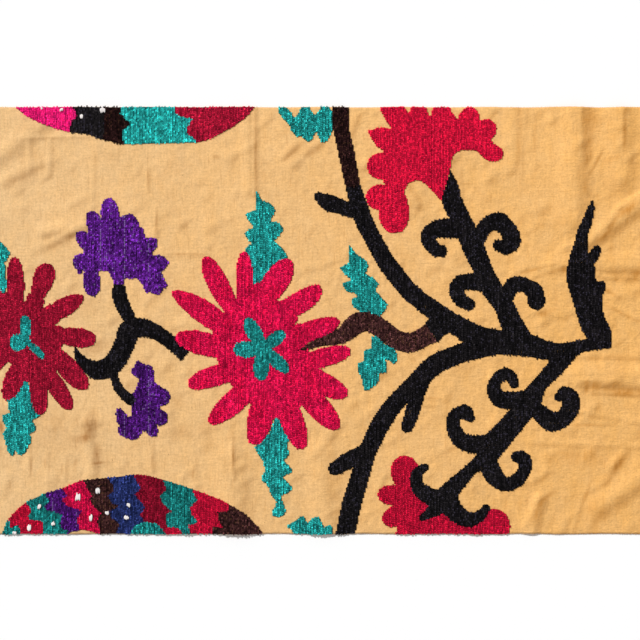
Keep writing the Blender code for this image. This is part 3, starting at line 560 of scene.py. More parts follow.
@dataclass(frozen=True)
class OchreCotton:
    """Hand-woven cotton: fine plain weave, slubs, flecks of seed, brown stains, and painted shade in
    folds and creases.
    """

    warm: tuple[float, float, float] = (0.88, 0.468, 0.143)
    pale: tuple[float, float, float] = (0.845, 0.543, 0.262)
    stain_and_shade: tuple[float, float, float] = (0.62, 0.272, 0.058)
    grime_and_shade: tuple[float, float, float] = (0.47, 0.230, 0.080)
    fleck: tuple[float, float, float] = (0.30, 0.140, 0.060)
    weave_pitch: float = 0.62
    relief_depth: float = 0.4
    roughness: float = 0.88

    def material(self) -> bpy.types.Material:
        """Builds the material.

        Returns:
            The material.
        """
        bench = Bench("ochre_cotton")
        place = bench.places()
        across, upward = bench.axis(place, "X"), bench.axis(place, "Y")
        mottle = bench.noise(bench.scaled(place, (13, 22, 16)), 3.0, 0.6)
        upright = bench.noise(bench.scaled(place, (2.2, 15, 15)), 3.0, 0.6)
        level = bench.noise(bench.scaled(place, (14, 2.0, 14)), 3.0, 0.6)
        grain = bench.noise(bench.scaled(place, (2.0, 1.7, 2.0)), 3.0, 0.7)
        broad = bench.noise(bench.scaled(place, (38, 70, 40)), 3.0, 0.55)

        drift = bench.noise(bench.scaled(place, (150, 150, 150)), 2.0)
        side = across * (0.9 / (CLOTH_WIDTH * MM)) + 0.03 + drift * 0.45 + mottle * 0.5
        light = 0.29 + upright * 0.30 + level * 0.26 + grain * 0.64 + broad * 0.18
        light = light + upward * (0.06 / (CLOTH_LENGTH * MM))
        colour = bench.lit(bench.blend(side, self.pale, self.warm), light)

        # Colour of the stains and of the painted shade: duller at the left, warmer at the right
        stain_and_shade = bench.blend(across * (1.6 / (CLOTH_WIDTH * MM)) + 0.5, self.grime_and_shade, self.stain_and_shade)
        dirt_and_shade = self._blots_and_shade(bench, place, mottle) + self._slubs(bench, place, broad, mottle)
        colour = bench.blend(dirt_and_shade, colour, stain_and_shade)
        colour = bench.blend(self._seeds(bench, place), colour, self.fleck)

        height = self._weave(across, upward) * 0.2 + upright * 0.8 + level * 0.9 + grain * 1.4
        height = height + self._crinkles(bench, place, across) * 0.9
        return bench.finish({"Base Color": colour, "Roughness": self.roughness, "Specular IOR Level": 0.1,
                             "Normal": bench.relief(height, 0.5, self.relief_depth)})

    def _weave(self, across: Wire, upward: Wire) -> Wire:
        """The threads' ups and downs."""
        turn = 2 * math.pi / (self.weave_pitch * MM)
        return (across * turn).sine() * (upward * turn).sine()

    @staticmethod
    def _crinkles(bench: Bench, place: Wire, across: Wire) -> Wire:
        """Adds thin winding ridges, stronger towards the right.

        Args:
            bench: The material's bench.
            place: The piece's own coordinates.
            across: Their first axis.

        Returns:
            The ridges' height.
        """
        crinkle = bench.noise(bench.scaled(place, (16, 9, 14), 0.5), 3.0, 0.6, 0.8)
        ridge = (1.0 - (crinkle - 0.5).larger(0.5 - crinkle) * 9.0).larger(0.0)
        return ridge * (across * (1.0 / (CLOTH_WIDTH * MM)) + 0.8)

    @staticmethod
    def _slubs(bench: Bench, place: Wire, broad: Wire, mottle: Wire) -> Wire:
        """Adds the thicker and darker threads of both directions.

        Args:
            bench: The material's bench.
            place: The piece's own coordinates.
            broad: Where the upright ones show.
            mottle: Where the level ones show.

        Returns:
            How dark each place is for them.
        """
        slubs = bench.noise(bench.scaled(place, (1.7, 19, 19)), 1.0)
        level_slubs = bench.noise(bench.scaled(place, (17, 1.6, 17)), 1.0)
        upright = (slubs - 0.61).larger(0.0) * (broad * 3.6)
        return upright + (level_slubs - 0.63).larger(0.0) * (mottle * 2.8)

    @staticmethod
    def _seeds(bench: Bench, place: Wire) -> Wire:
        """Adds small dark flecks of seed.

        Args:
            bench: The material's bench.
            place: The piece's own coordinates.

        Returns:
            How much of a fleck each place has.
        """
        spread = {"Vector": bench.scaled(place, (13, 13, 13)), "Scale": 1.0, "Randomness": 1.0}
        away = bench.add("TexVoronoi", {"feature": "F1"}, spread, "Distance")
        size = bench.noise(bench.scaled(place, (21, 21, 21)), 1.0)
        return (size * 0.085 - 0.012).larger(0.0).above(away) * 0.55

    def _blots_and_shade(self, bench: Bench, place: Wire, mottle: Wire) -> Wire:
        """Adds faint blots anywhere, the marks of stains and of painted shade along folds and creases, and
        painted shade on the side of each fold that faces away from the key light.

        Args:
            bench: The material's bench.
            place: The piece's own coordinates.
            mottle: What makes them uneven.

        Returns:
            How dark each place is for them.
        """
        blot = bench.noise(bench.scaled(place, (34, 44, 34)), 4.0, 0.6, 0.6)
        marks = self._marks(bench, place) * (0.4 + mottle * 1.2)
        # Painted shade: fold sides that face away from the key light are tinted darker and warmer
        painted_fold_shade = bench.attribute("shaded_fold_side") * (0.1 + mottle * 0.7)
        return (blot - 0.58).larger(0.0) * 1.6 + marks + painted_fold_shade

    @staticmethod
    def _marks(bench: Bench, place: Wire) -> Wire:
        """Adds the marks, stains and painted shade, each strongest in its middle and gone at its reach,
        with ragged edges.

        Args:
            bench: The material's bench.
            place: The piece's own coordinates.

        Returns:
            Their sum.
        """
        ragged = bench.noise(bench.scaled(place, (7, 9, 8)), 3.0, 0.6)
        ragged = ragged * (bench.noise(bench.scaled(place, (2.2, 16, 16)), 2.0) * 1.6 + 0.2)
        total: Value = 0.0
        for stain_and_shade in STAINS_AND_SHADE:
            local = bench.add("Mapping", {"vector_type": "TEXTURE"}, {
                "Vector": place, "Rotation": (0, 0, math.radians(stain_and_shade.turn)),
                "Location": ((stain_and_shade.x - CLOTH_WIDTH / 2) * MM, (stain_and_shade.y - CLOTH_LENGTH / 2) * MM, 0.0),
                "Scale": (stain_and_shade.along * MM, stain_and_shade.across * MM, 1.0)})
            depth = bench.add("TexGradient", {"gradient_type": "SPHERICAL"}, {"Vector": local}, 1)
            total = total + depth * (ragged * 2.2) * stain_and_shade.strength
        return total


@dataclass(frozen=True)
class LaidThread:
    """Lightly twisted silk laid in rows; each stitch takes its own tone from the mesh.

    The fields are its slot, its two colours and the colour and strength of its pale flecks; how strongly
    tones differ, how much they vary by stitch and by row, and how much painted shade darkens the stitches'
    feet in the gaps between rows; the share of pale stitches anywhere and where two bands of rows meet; how
    ragged its edges are; and its roughness.
    """

    slot: str
    deep: tuple[float, float, float]
    bright: tuple[float, float, float]
    fleck: tuple[float, float, float] = (0.0, 0.0, 0.0)
    flecks: float = 0.0
    contrast: float = 1.0
    speckle: float = 0.24
    stripe: float = 0.16
    gap: float = 0.0
    pale_share: float = 0.1
    pale_at_seam: float = 0.1
    ragged: float = 1.0
    roughness: float = 0.6

    def material(self) -> bpy.types.Material:
        """Builds the material.

        Returns:
            The material.
        """
        bench = Bench(self.slot)
        place = bench.places()
        tone = bench.attribute("tone")
        drift = bench.noise(bench.scaled(place, (17, 26, 20)), 3.0, 0.55)
        colour = bench.blend(drift * 1.5 - 0.25, self.deep, self.bright)
        streak = bench.noise(bench.scaled(place, (1.6, 11, 11)), 2.0)
        glint = bench.noise(bench.scaled(place, (0.6, 0.65, 0.6)), 0.0)
        light = (tone * (0.6 + streak * 0.8)) ** self.contrast * (0.1 + glint * 1.8)
        # Painted shade: the stitches' feet, down in the gaps between rows, are made darker
        light = light * (1.0 - bench.attribute("foot") * self.gap)
        colour = bench.lit(colour, light)
        if self.flecks:
            colour = bench.blend(bench.attribute("pale") * self.flecks, colour, self.fleck)
        on_thread = bench.add("UVMap", {"uv_map": THREAD_MAP}, {}, "UV")
        along, around = bench.axis(on_thread, "X"), bench.axis(on_thread, "Y")
        plies = ((around * 6.0 + along * 1.6) * (2 * math.pi)).sine()
        return bench.finish({"Base Color": colour, "Roughness": self.roughness, "Specular IOR Level": 0.04,
                             "Normal": bench.relief(plies, 0.3, 0.12)})


@dataclass(frozen=True)
class WhiteThread:
    """Thick white cotton of the knots."""

    colour: tuple[float, float, float] = (0.90, 0.85, 0.83)
    shaded: tuple[float, float, float] = (0.70, 0.60, 0.55)

    def material(self) -> bpy.types.Material:
        """Builds the material.

        Returns:
            The material.
        """
        bench = Bench("white_knots")
        grain = bench.noise(bench.scaled(bench.places(), (0.5, 0.5, 0.5)), 2.0)
        colour = bench.blend(grain * 0.4, self.colour, self.shaded)
        return bench.finish({"Base Color": colour, "Roughness": 0.75,
                             "Normal": bench.relief(grain, 0.5, 0.3)})


@dataclass(frozen=True)
class PaleFloor:
    """Plain pale surface under the cloth."""

    colour: tuple[float, float, float] = (0.97, 0.97, 0.97)

    def material(self) -> bpy.types.Material:
        """Builds the material."""
        return Bench("pale_floor").finish({"Base Color": self.colour, "Roughness": 0.9})


class Hue(Enum):
    """The threads of the embroidery."""

    PINK = LaidThread("pink_thread", (0.72, 0.006, 0.055), (0.99, 0.013, 0.120), speckle=0.28, stripe=0.12)
    CRIMSON = LaidThread("crimson_thread", (0.72, 0.010, 0.053), (0.96, 0.013, 0.068), stripe=0.08)
    BURGUNDY = LaidThread("burgundy_thread", (0.38, 0.009, 0.034), (0.56, 0.014, 0.053),
                          gap=0.2, speckle=0.30, stripe=0.12)
    MAGENTA = LaidThread("magenta_thread", (0.99, 0.014, 0.205), (1.0, 0.024, 0.260), stripe=0.08)
    TEAL = LaidThread("teal_thread", (0.020, 0.320, 0.305), (0.036, 0.640, 0.600),
                      gap=0.5, contrast=1.1, speckle=0.36, stripe=0.19)
    PURPLE = LaidThread("purple_thread", (0.077, 0.012, 0.165), (0.245, 0.033, 0.520),
                        (0.50, 0.34, 0.72), 0.34, contrast=1.5, speckle=0.33, stripe=0.11, gap=0.55,
                        pale_share=0.04, pale_at_seam=0.6)
    NAVY = LaidThread("navy_thread", (0.024, 0.038, 0.150), (0.044, 0.070, 0.290),
                      gap=0.55, contrast=1.3, speckle=0.33, stripe=0.14)
    BLACK = LaidThread("black_thread", (0.0085, 0.0075, 0.0080), (0.0175, 0.0145, 0.0165),
                       (0.060, 0.052, 0.078), 0.5, contrast=1.6, gap=0.4, ragged=1.5)
    BROWN = LaidThread("brown_thread", (0.044, 0.015, 0.015), (0.082, 0.030, 0.028),
                       (0.26, 0.12, 0.06), 0.25, contrast=1.5, speckle=0.34, gap=0.5, stripe=0.14,
                       ragged=1.35)


# ---------------------------------------------------------------------------------------------- meshes

def bake_map(mesh: bpy.types.Mesh) -> None:
    """Adds the map that the piece is baked on: its plan, seen from above.

    Args:
        mesh: The finished mesh.
    """
    places = np.empty(len(mesh.vertices) * 3, np.float32)
    mesh.vertices.foreach_get("co", places)
    plan = places.reshape(-1, 3)[:, :2]
    low, high = plan.min(0), plan.max(0)
    plan = BAKE_MARGIN + (1.0 - 2.0 * BAKE_MARGIN) * (plan - low) / (high - low).max()
    corners = np.empty(len(mesh.loops), np.int32)
    mesh.loops.foreach_get("vertex_index", corners)
    layer = mesh.uv_layers.new(name=BAKE_MAP)
    layer.uv.foreach_set("vector", plan[corners].astype(np.float32).ravel())


def put_number(mesh: bpy.types.Mesh, name: str, values: np.ndarray) -> None:
    """Stores a number for each point of the mesh."""
    mesh.attributes.new(name, "FLOAT", "POINT").data.foreach_set("value", values.astype(np.float32))


def new_piece(name: str, mesh: bpy.types.Mesh, material: bpy.types.Material) -> bpy.types.Object:
    """Links a smooth piece to the scene and lets it ride on the cloth.

    Args:
        name: The piece's name.
        mesh: Its mesh.
        material: Its finish.

    Returns:
        The piece.
    """
    mesh.materials.append(material)
    mesh.polygons.foreach_set("use_smooth", np.full(len(mesh.polygons), True))
    piece = bpy.data.objects.new(name, mesh)
    bpy.context.scene.collection.objects.link(piece)
    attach(piece, "root")
    return piece


@dataclass
class Pattern:
    """A small closed shape that is copied many times: its points, its faces and a number pair by point."""

    points: np.ndarray
    faces: np.ndarray
    pairs: np.ndarray

    def copies(self, moved: np.ndarray) -> tuple[np.ndarray, np.ndarray, np.ndarray]:
        """Joins moved copies.

        Args:
            moved: The points of every copy, as copies by points by three.

        Returns:
            All points, all faces and each point's number pair.
        """
        count, size = moved.shape[0], moved.shape[1]
        faces = self.faces[None] + (np.arange(count) * size)[:, None, None]
        return moved.reshape(-1, 3), faces.reshape(-1, 3), np.tile(self.pairs, (count, 1))


def bead_pattern(around: int, rings: int) -> Pattern:
    """Makes a unit bead along Y with rounded shoulders, pointed ends and an edge on top.

    Args:
        around: How many corners it has around its length.
        rings: How many rings of corners it has along its length.

    Returns:
        The bead, with each point's place along and around it as its number pair.
    """
    lying = Matrix.Rotation(math.radians(-90.0), 4, "Y") @ Matrix.Rotation(math.radians(90.0), 4, "X")
    shape = bmesh.new()
    bmesh.ops.create_uvsphere(shape, u_segments=around, v_segments=rings + 1, radius=1.0, matrix=lying)
    bmesh.ops.triangulate(shape, faces=shape.faces)
    points = np.array([vert.co[:] for vert in shape.verts])
    faces = np.array([[vert.index for vert in face.verts] for face in shape.faces])
    shape.free()
    turn = np.arctan2(points[:, 2], points[:, 0]) / (2 * math.pi)
    return Pattern(points, faces, np.stack([points[:, 1] * 0.5 + 0.5, turn + 0.5], axis=1))


@dataclass(frozen=True)
class Strands:
    """Many short lengths of thread, one number of each kind per length.

    The fields are a length's middle, half its length, its lean in radians, half its width, half its depth
    and its middle's height; how far all tips dip; and how much fuller a bead is made between its tips.
    """

    x: np.ndarray
    y: np.ndarray
    half: np.ndarray
    lean: np.ndarray
    wide: np.ndarray
    thick: np.ndarray
    base: np.ndarray
    dip: float = 0.0
    full: float = 1.25

    def laid(self, bead: Pattern, lie: Lie) -> tuple[np.ndarray, np.ndarray, np.ndarray]:
        """Lays every length on the cloth as a bead.

        Args:
            bead: The bead that is copied.
            lie: How the cloth lies.

        Returns:
            All points, all faces and each point's number pair.
        """
        shape = bead.points
        tips = np.abs(shape[:, 1]) > 0.9
        fullness = np.where(tips, 1.0, self.full)
        along = shape[:, 1] * self.half[:, None]
        across = shape[:, 0] * fullness * self.wide[:, None]
        up = shape[:, 2] * fullness * self.thick[:, None] - self.dip * tips
        turn_x, turn_y = np.sin(self.lean)[:, None], np.cos(self.lean)[:, None]
        x = self.x[:, None] + across * turn_y + along * turn_x
        y = self.y[:, None] - across * turn_x + along * turn_y
        return bead.copies(to_world(x, y, self.base[:, None] + up + lie.height(x, y)))


def mesh_of(name: str, points: np.ndarray, faces: np.ndarray) -> bpy.types.Mesh:
    """Makes a mesh of triangles from arrays.

    Args:
        name: The mesh's name.
        points: Rows of three metres.
        faces: Rows of three points' numbers.

    Returns:
        The mesh.
    """
    mesh = bpy.data.meshes.new(name)
    mesh.vertices.add(len(points))
    mesh.vertices.foreach_set("co", points.astype(np.float32).ravel())
    mesh.loops.add(faces.size)
    mesh.loops.foreach_set("vertex_index", faces.astype(np.int32).ravel())
    mesh.polygons.add(len(faces))
    mesh.polygons.foreach_set("loop_start", np.arange(0, faces.size, 3, dtype=np.int32))
    mesh.update(calc_edges=True)
    return mesh


@dataclass(frozen=True)
class Run:
    """One stretch of an upright row that lies inside a block of stitching."""

    row: int
    x: float
    low: float
    high: float


@dataclass(frozen=True)
class Tip:
    """Three corners of a small wedge of stitches that sharpens a lobe or closes a notch of a solid."""

    x1: float
    y1: float
    x2: float
    y2: float
    x3: float
    y3: float

    def corners(self) -> list[tuple[float, float]]:
        """The corners as x and y."""
        return [(self.x1, self.y1), (self.x2, self.y2), (self.x3, self.y3)]


# The wedges of each block that has some
TIPS = {
    "purple_palmette": (
        Tip(93.8, 320.7, 101.3, 322.7, 95.5, 310.7),
        Tip(84.2, 301.6, 94.7, 302.0, 86.3, 295.7),
        Tip(96.3, 240.7, 102.8, 237.6, 108.0, 245.7),
        Tip(171.3, 277.3, 177.2, 271.3, 171.3, 265.7),
        Tip(144.7, 256.0, 152.8, 256.0, 152.8, 248.2),
    ),
    "purple_bud": (
        Tip(163.3, 150.5, 178.8, 138.0, 162.8, 126.5),
        Tip(162.8, 127.0, 175.2, 113.6, 161.0, 110.7),
        Tip(146.0, 172.6, 160.8, 164.3, 148.0, 163.0),
    ),
    "blade_leaf": (
        Tip(601.8, 283.2, 607.8, 288.4, 607.6, 279.5),
    ),
    "main_vine": (
        Tip(443.5, 197.0, 452.7, 200.0, 445.0, 191.4),
    ),
}


class Footprint:
    """The area of one block of stitching, read from its solid as upright runs."""

    def __init__(self, node: str, pitch: float) -> None:
        """Reads the solid's upper faces.

        Args:
            node: The solid's name.
            pitch: Distance between rows in millimetres.
        """
        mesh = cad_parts[node].data
        corners = np.array([vert.co[:] for vert in mesh.vertices])
        x, y, _ = from_world(corners)
        plan = np.stack([x, y], axis=1)
        tops = [tuple(face.vertices) for face in mesh.polygons if face.normal.z > 0.5]
        self.triangles = plan[np.array(tops)]
        if node in TIPS:
            self.triangles = np.concatenate([self.triangles, [tip.corners() for tip in TIPS[node]]])
        self.pitch = pitch

    def runs(self) -> list[Run]:
        """Finds every run.

        Returns:
            The runs, from left to right.
        """
        lows, highs = self.triangles[:, :, 0].min(1), self.triangles[:, :, 0].max(1)
        found = []
        for row in range(math.floor(lows.min() / self.pitch), math.ceil(highs.max() / self.pitch) + 1):
            x = (row + 0.5) * self.pitch
            pieces = []
            for place in (x, x - NEXT_BLOCK):
                pieces += self._crossings(place, self.triangles[(lows < place) & (highs > place)])
            found += [Run(row, x, low, high) for low, high in self._merged(pieces)]
        return found

    @staticmethod
    def _crossings(x: float, triangles: np.ndarray) -> list[tuple[float, float]]:
        """Cuts triangles with an upright line.

        Args:
            x: Where the line stands.
            triangles: The triangles, by three corners by x and y.

        Returns:
            The low and the high end of the line within each triangle that it crosses.
        """
        pieces = []
        for corners in triangles:
            heights = []
            for start, end in zip(corners, np.roll(corners, -1, axis=0)):
                if (start[0] - x) * (end[0] - x) < 0:
                    heights.append(start[1] + (end[1] - start[1]) * (x - start[0]) / (end[0] - start[0]))
            if len(heights) == 2:
                pieces.append((min(heights), max(heights)))
        return pieces

    @staticmethod
    def _merged(pieces: Sequence[tuple[float, float]], bridged: float = 0.15) -> list[tuple[float, float]]:
        """Joins stretches that touch or overlap.

        Args:
            pieces: The stretches' low and high ends.
            bridged: Widest gap that is closed.

        Returns:
            The joined stretches, from the lowest up.
        """
        merged: list[tuple[float, float]] = []
        for low, high in sorted(pieces):
            if merged and low < merged[-1][1] + bridged:
                merged[-1] = (merged[-1][0], max(high, merged[-1][1]))
            else:
                merged.append((low, high))
        return merged


@dataclass
class Block:
    """One block of stitching: long laid threads, and rows of short slanted stitches that tie them down.

    The fields are the solid's name, its thread, how the cloth lies and how light the block is; the rows'
    pitch; a stitch's length and lap, its slant in degrees, the slant's spread and the half length from
    which it is full, the stitch's width, depth and height, the dip of its ends, and its darkest and its
    lightest tone; how far rows reach past the solid's edge, how much their ends differ, by chance and from
    one row to the next, how far they sway, and the shortest run that is sewn; the laid bars' spacing of
    stations, half width, half height, reach past a run, and dark tone, which is painted shade under the
    stitches; the seed of the rows' tones, how much lighter every other row is, and over what length a row
    keeps its tone; and how many rows make a band.
    """

    node: str
    hue: Hue
    lie: Lie
    shade: float = 1.0
    pitch: float = 1.5
    length: float = 1.8
    lap: float = 0.7
    slant: float = 12.0
    slant_spread: float = 6.0
    slant_half: float = 1.1
    width: float = 1.65
    depth: float = 0.85
    seat: float = 0.42
    dip: float = 0.35
    darkest: float = 0.3
    lightest: float = 2.6
    overlap: float = 0.25
    tooth: float = 1.2
    uneven: float = 0.7
    alternate: float = 0.15
    sway: float = 0.14
    shortest: float = 0.8
    laid_step: float = 6.0
    laid_half: float = 0.56
    laid_rise: float = 0.25
    laid_past: float = 0.2
    laid_shaded_tone: float = 0.3
    row_seed: int = 77
    row_light: float = 0.8
    spell: float = 10.0
    band: int = 16
    runs: list[Run] = field(default_factory=list)

    def build(self, seed: int, material: bpy.types.Material) -> bpy.types.Object:
        """Makes the piece.

        Args:
            seed: Start of its random draws.
            material: Its finish.

        Returns:
            The piece, which stands for the solid block.
        """
        self.runs = Footprint(self.node, self.pitch).runs()
        points, faces, pairs, tone, pale, foot = self._stitches(np.random.default_rng(seed))
        laid_points, laid_faces = self._laid()
        faces = np.concatenate([faces, laid_faces + len(points)])
        points = np.concatenate([points, laid_points])
        mesh = mesh_of(self.node + "_stitches", points, faces)
        none = np.zeros(len(laid_points))
        # The laid bars get a dark tone: painted shade in the gaps under the stitches
        put_number(mesh, "tone", np.concatenate([tone, none + self.laid_shaded_tone]) * self.shade)
        put_number(mesh, "pale", np.concatenate([pale, none]) * min(self.shade, 1.0))
        put_number(mesh, "foot", np.concatenate([foot, none]))
        pairs = np.concatenate([pairs, np.zeros((len(laid_points), 2))])[faces.ravel()]
        mesh.uv_layers.new(name=THREAD_MAP).uv.foreach_set("vector", pairs.astype(np.float32).ravel())
        bake_map(mesh)
        piece = new_piece(self.node + "_stitches", mesh, material)
        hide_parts(self.node)
        return piece

    def _spans(self, draw: np.random.Generator) -> np.ndarray:
        """Divides the runs into stitches, each run from its own random start.

        Args:
            draw: Source of random numbers.

        Returns:
            A row of x, low y and high y for every stitch.
        """
        rows = []
        least = 0.35 * self.length
        for run in self.runs:
            turn = self.alternate if run.row % 2 else -self.alternate
            step = draw.uniform(-self.uneven, self.uneven) + turn
            reach = self.overlap + self.tooth * self.hue.value.ragged * step
            low, high = run.low - reach, run.high + reach
            if high - low < self.shortest:
                continue
            phase = self.length * draw.uniform(0.0, 1.0)
            first = math.ceil((low - phase + least) / self.length)
            last = math.floor((high - phase - least) / self.length)
            marks = [low] + [phase + place * self.length for place in range(first, last + 1)] + [high]
            x = run.x + draw.uniform(-self.sway, self.sway)
            rows += [(x, start, end) for start, end in zip(marks, marks[1:])]
        return np.array(rows)

    def _stitches(self, draw: np.random.Generator) -> tuple[np.ndarray, ...]:
        """Lays the short stitches.

        Args:
            draw: Source of random numbers.

        Returns:
            Points, faces, number pairs, tones, pale marks, and one where a point is at a stitch's foot,
            which the finish darkens as painted shade.
        """
        x, low, high = self._spans(draw).T
        count = len(x)
        middle = 0.5 * (low + high)
        half = 0.5 * (high - low + self.lap)
        slant = np.radians(self.slant + draw.normal(0.0, self.slant_spread, count))
        strands = Strands(x, middle, half, slant * np.minimum(1.0, half / self.slant_half),
                          0.5 * self.width * draw.uniform(0.85, 1.12, count),
                          0.5 * self.depth * draw.uniform(0.85, 1.1, count),
                          THREAD_BASE + self.seat + draw.uniform(-0.08, 0.08, count), self.dip)
        bead = bead_pattern(3, 2)
        points, faces, pairs = strands.laid(bead, self.lie)
        stripe = self._stripes(x, middle)
        tone = np.exp(draw.normal(0.0, self.hue.value.speckle, count) + stripe)
        tone = np.clip(tone, self.darkest, self.lightest)
        at_seam = np.floor(x / self.pitch).astype(int) % self.band == self.band // 2
        # A share of the stitches is pale, more of them where two bands of rows meet
        pale_share = np.where(at_seam, self.hue.value.pale_at_seam, self.hue.value.pale_share)
        pale = (draw.uniform(0.0, 1.0, count) > 1.0 - pale_share).astype(float)
        size = len(bead.points)
        # Points below a stitch's middle are its foot, which the finish darkens as painted shade
        foot = np.tile((bead.points[:, 2] < 0.0).astype(float), count)
        return points, faces, pairs, np.repeat(tone, size), np.repeat(pale, size), foot

    def _stripes(self, x: np.ndarray, y: np.ndarray) -> np.ndarray:
        """Tells how light the rows are: every other row is darker, and each keeps its tone for a spell.

        Args:
            x: Places across the rows.
            y: Places along the rows.

        Returns:
            The exponent of the tone at each place.
        """
        most_rows, most_spells = 500, 99
        rows = np.clip(np.floor(x / self.pitch).astype(int), 0, most_rows - 1)
        draw = np.random.default_rng(self.row_seed)
        spells = (y / self.spell + draw.uniform(0.0, 1.0, most_rows)[rows]).astype(int)
        tones = draw.normal(0.0, 1.0, (most_rows, most_spells))[rows, np.clip(spells, 0, most_spells - 1)]
        return self.hue.value.stripe * (tones + np.where(rows % 2, self.row_light, -self.row_light))

    def _laid(self) -> tuple[np.ndarray, np.ndarray]:
        """Lays the long threads under the stitches: a three-sided bar along every run.

        Returns:
            The points and the faces of all bars.
        """
        points, faces, count = [], [], 0
        side = np.array([-self.laid_half, 0.0, self.laid_half]) * self.pitch
        rise = np.array([-self.laid_rise, self.laid_rise, -self.laid_rise]) + THREAD_BASE
        for run in self.runs:
            stations = max(2, math.ceil((run.high - run.low) / self.laid_step) + 1)
            y = np.repeat(np.linspace(run.low - self.laid_past, run.high + self.laid_past, stations), 3)
            x = run.x + np.tile(side, stations)
            points.append(to_world(x, y, np.tile(rise, stations) + self.lie.height(x, y)))
            here = count + np.arange(3 * (stations - 1))
            beside = here + np.tile([1, 1, -2], stations - 1)
            ahead = count + 3 * (stations - 1)
            faces += [np.stack([here, beside, beside + 3], axis=1),
                      np.stack([here, beside + 3, here + 3], axis=1),
                      np.array([[count, count + 2, count + 1], [ahead, ahead + 1, ahead + 2]])]
            count += 3 * stations
        return np.concatenate(points), np.concatenate(faces)


@dataclass
class GroundCloth:
    """The cotton ground: one sheet in soft folds, puckered beside the stitching.

    The fields are how the cloth lies; how far apart the points of its upper and of its under side are; the
    puckers' height and form, how far from the stitching they start and reach, their share at the cloth's
    left edge and what is added to it at the right one; how far from the stitching is measured; and how far
    towards the key light the cloth's climb is looked for, to find the fold sides that get painted shade,
    and how soon that painted shade is at its full.
    """

    lie: Lie
    pitch: float = 1.9
    under_pitch: float = 6.0
    pucker: float = 0.34
    gathers: Rambling = Rambling(5, 6.0, 16.0)
    pucker_start: float = 2.5
    pucker_reach: float = 11.0
    pucker_at_left: float = 0.55
    pucker_growth: float = 0.6
    farthest: int = 30
    look_ahead: float = 1.5
    steepness: float = 3.0

    def build(self, runs: Sequence[Run]) -> bpy.types.Object:
        """Makes the sheet.

        Args:
            runs: All runs of stitching, which the puckers keep to.

        Returns:
            The piece, which stands for the solid cloth.
        """
        sheet = bmesh.new()
        for pitch, rise in ((self.under_pitch, 0.0), (self.pitch, 1.0)):
            bmesh.ops.create_grid(sheet, x_segments=round(CLOTH_WIDTH / pitch),
                                  y_segments=round(CLOTH_LENGTH / pitch), size=0.5,
                                  matrix=Matrix.Translation((0.0, 0.0, rise)))
        bmesh.ops.bridge_loops(sheet, edges=[edge for edge in sheet.edges if edge.is_boundary])
        bmesh.ops.recalc_face_normals(sheet, faces=sheet.faces)
        mesh = bpy.data.meshes.new("ground_sheet")
        sheet.to_mesh(mesh)
        sheet.free()
        self._shape(mesh, runs)
        bake_map(mesh)
        piece = new_piece("ground_sheet", mesh, OchreCotton().material())
        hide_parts("ground_cloth")
        return piece

    def _shape(self, mesh: bpy.types.Mesh, runs: Sequence[Run]) -> None:
        """Lays the sheet out: its outline, its folds and, on the upper side, its puckers; and marks the
        fold sides that face away from the key light, for painted shade.

        Args:
            mesh: The sheet as a unit square, its under side at 0 and its upper side at 1.
            runs: All runs of stitching.
        """
        rows = np.empty(len(mesh.vertices) * 3)
        mesh.vertices.foreach_get("co", rows)
        rows = rows.reshape(-1, 3)
        x, y = wandered((rows[:, 0] + 0.5) * CLOTH_WIDTH, (rows[:, 1] + 0.5) * CLOTH_LENGTH)
        away = self._away(x, y, runs)
        near = (1.0 - np.exp(-away / self.pucker_start)) * np.exp(-away / self.pucker_reach)
        near *= self.pucker_at_left + self.pucker_growth * x / CLOTH_WIDTH
        puckers = self.pucker * near * self.gathers.at(x, y)
        low = self.lie.height(x, y)
        z = low + np.where(rows[:, 2] > 0.5, CLOTH_THICKNESS + puckers, 0.0)
        mesh.vertices.foreach_set("co", to_world(x, y, z).ravel())
        mesh.update()
        # Painted shade: where the cloth climbs towards the key light it faces away from it, and is tinted
        # darker
        toward = self.look_ahead / math.sqrt(2.0)
        climb = (self.lie.height(x - toward, y + toward) - low) / self.look_ahead
        put_number(mesh, "shaded_fold_side", np.clip(climb * self.steepness, 0.0, 1.0))

    def _away(self, x: np.ndarray, y: np.ndarray, runs: Sequence[Run]) -> np.ndarray:
        """Measures how far places are from the nearest stitching.

        Args:
            x: The places' x.
            y: The places' y.
            runs: All runs of stitching.

        Returns:
            The distances in whole millimetres, none more than the farthest.
        """
        covered = np.zeros((round(CLOTH_WIDTH) + 1, round(CLOTH_LENGTH) + 1), bool)
        for run in runs:
            column = int(np.clip(run.x, 0, covered.shape[0] - 2))
            low, high = (int(np.clip(value, 0, covered.shape[1] - 1)) for value in (run.low, run.high))
            covered[column:column + 2, low:high + 1] = True
        away = np.full(covered.shape, float(self.farthest))
        for step in range(self.farthest):
            away[covered & (away == self.farthest)] = step
            grown = covered.copy()
            for shift, axis in ((1, 0), (-1, 0), (1, 1), (-1, 1)):
                grown |= np.roll(covered, shift, axis)
            covered = grown
        columns = np.clip(np.round(x).astype(int), 0, covered.shape[0] - 1)
        rows = np.clip(np.round(y).astype(int), 0, covered.shape[1] - 1)
        return away[columns, rows]


@dataclass(frozen=True)
class Knot:
    """One white dot sewn on a ring: its middle, its width and its height."""

    x: float
    y: float
    width: float
    height: float


KNOTS = (
    Knot(22.7, 1.2, 4.5, 3.0),
    Knot(37.3, 6.0, 4.5, 7.0),
    Knot(47.5, 27.8, 4.0, 5.0),
    Knot(61.3, 10.4, 4.3, 3.6),
    Knot(86.1, 37.0, 5.4, 8.0),
    Knot(98.9, 16.0, 3.6, 7.0),
    Knot(105.9, 43.4, 5.0, 6.0),
    Knot(115.1, 20.9, 4.3, 4.3),
    Knot(136.6, 29.0, 4.0, 5.0),
    Knot(134.6, 16.5, 5.4, 4.0),
    Knot(89.6, 417.2, 3.5, 5.0),
    Knot(110.7, 423.6, 6.0, 6.0),
    Knot(69.6, 424.2, 4.0, 3.6),
    Knot(50.0, 425.2, 2.2, 2.2),
)


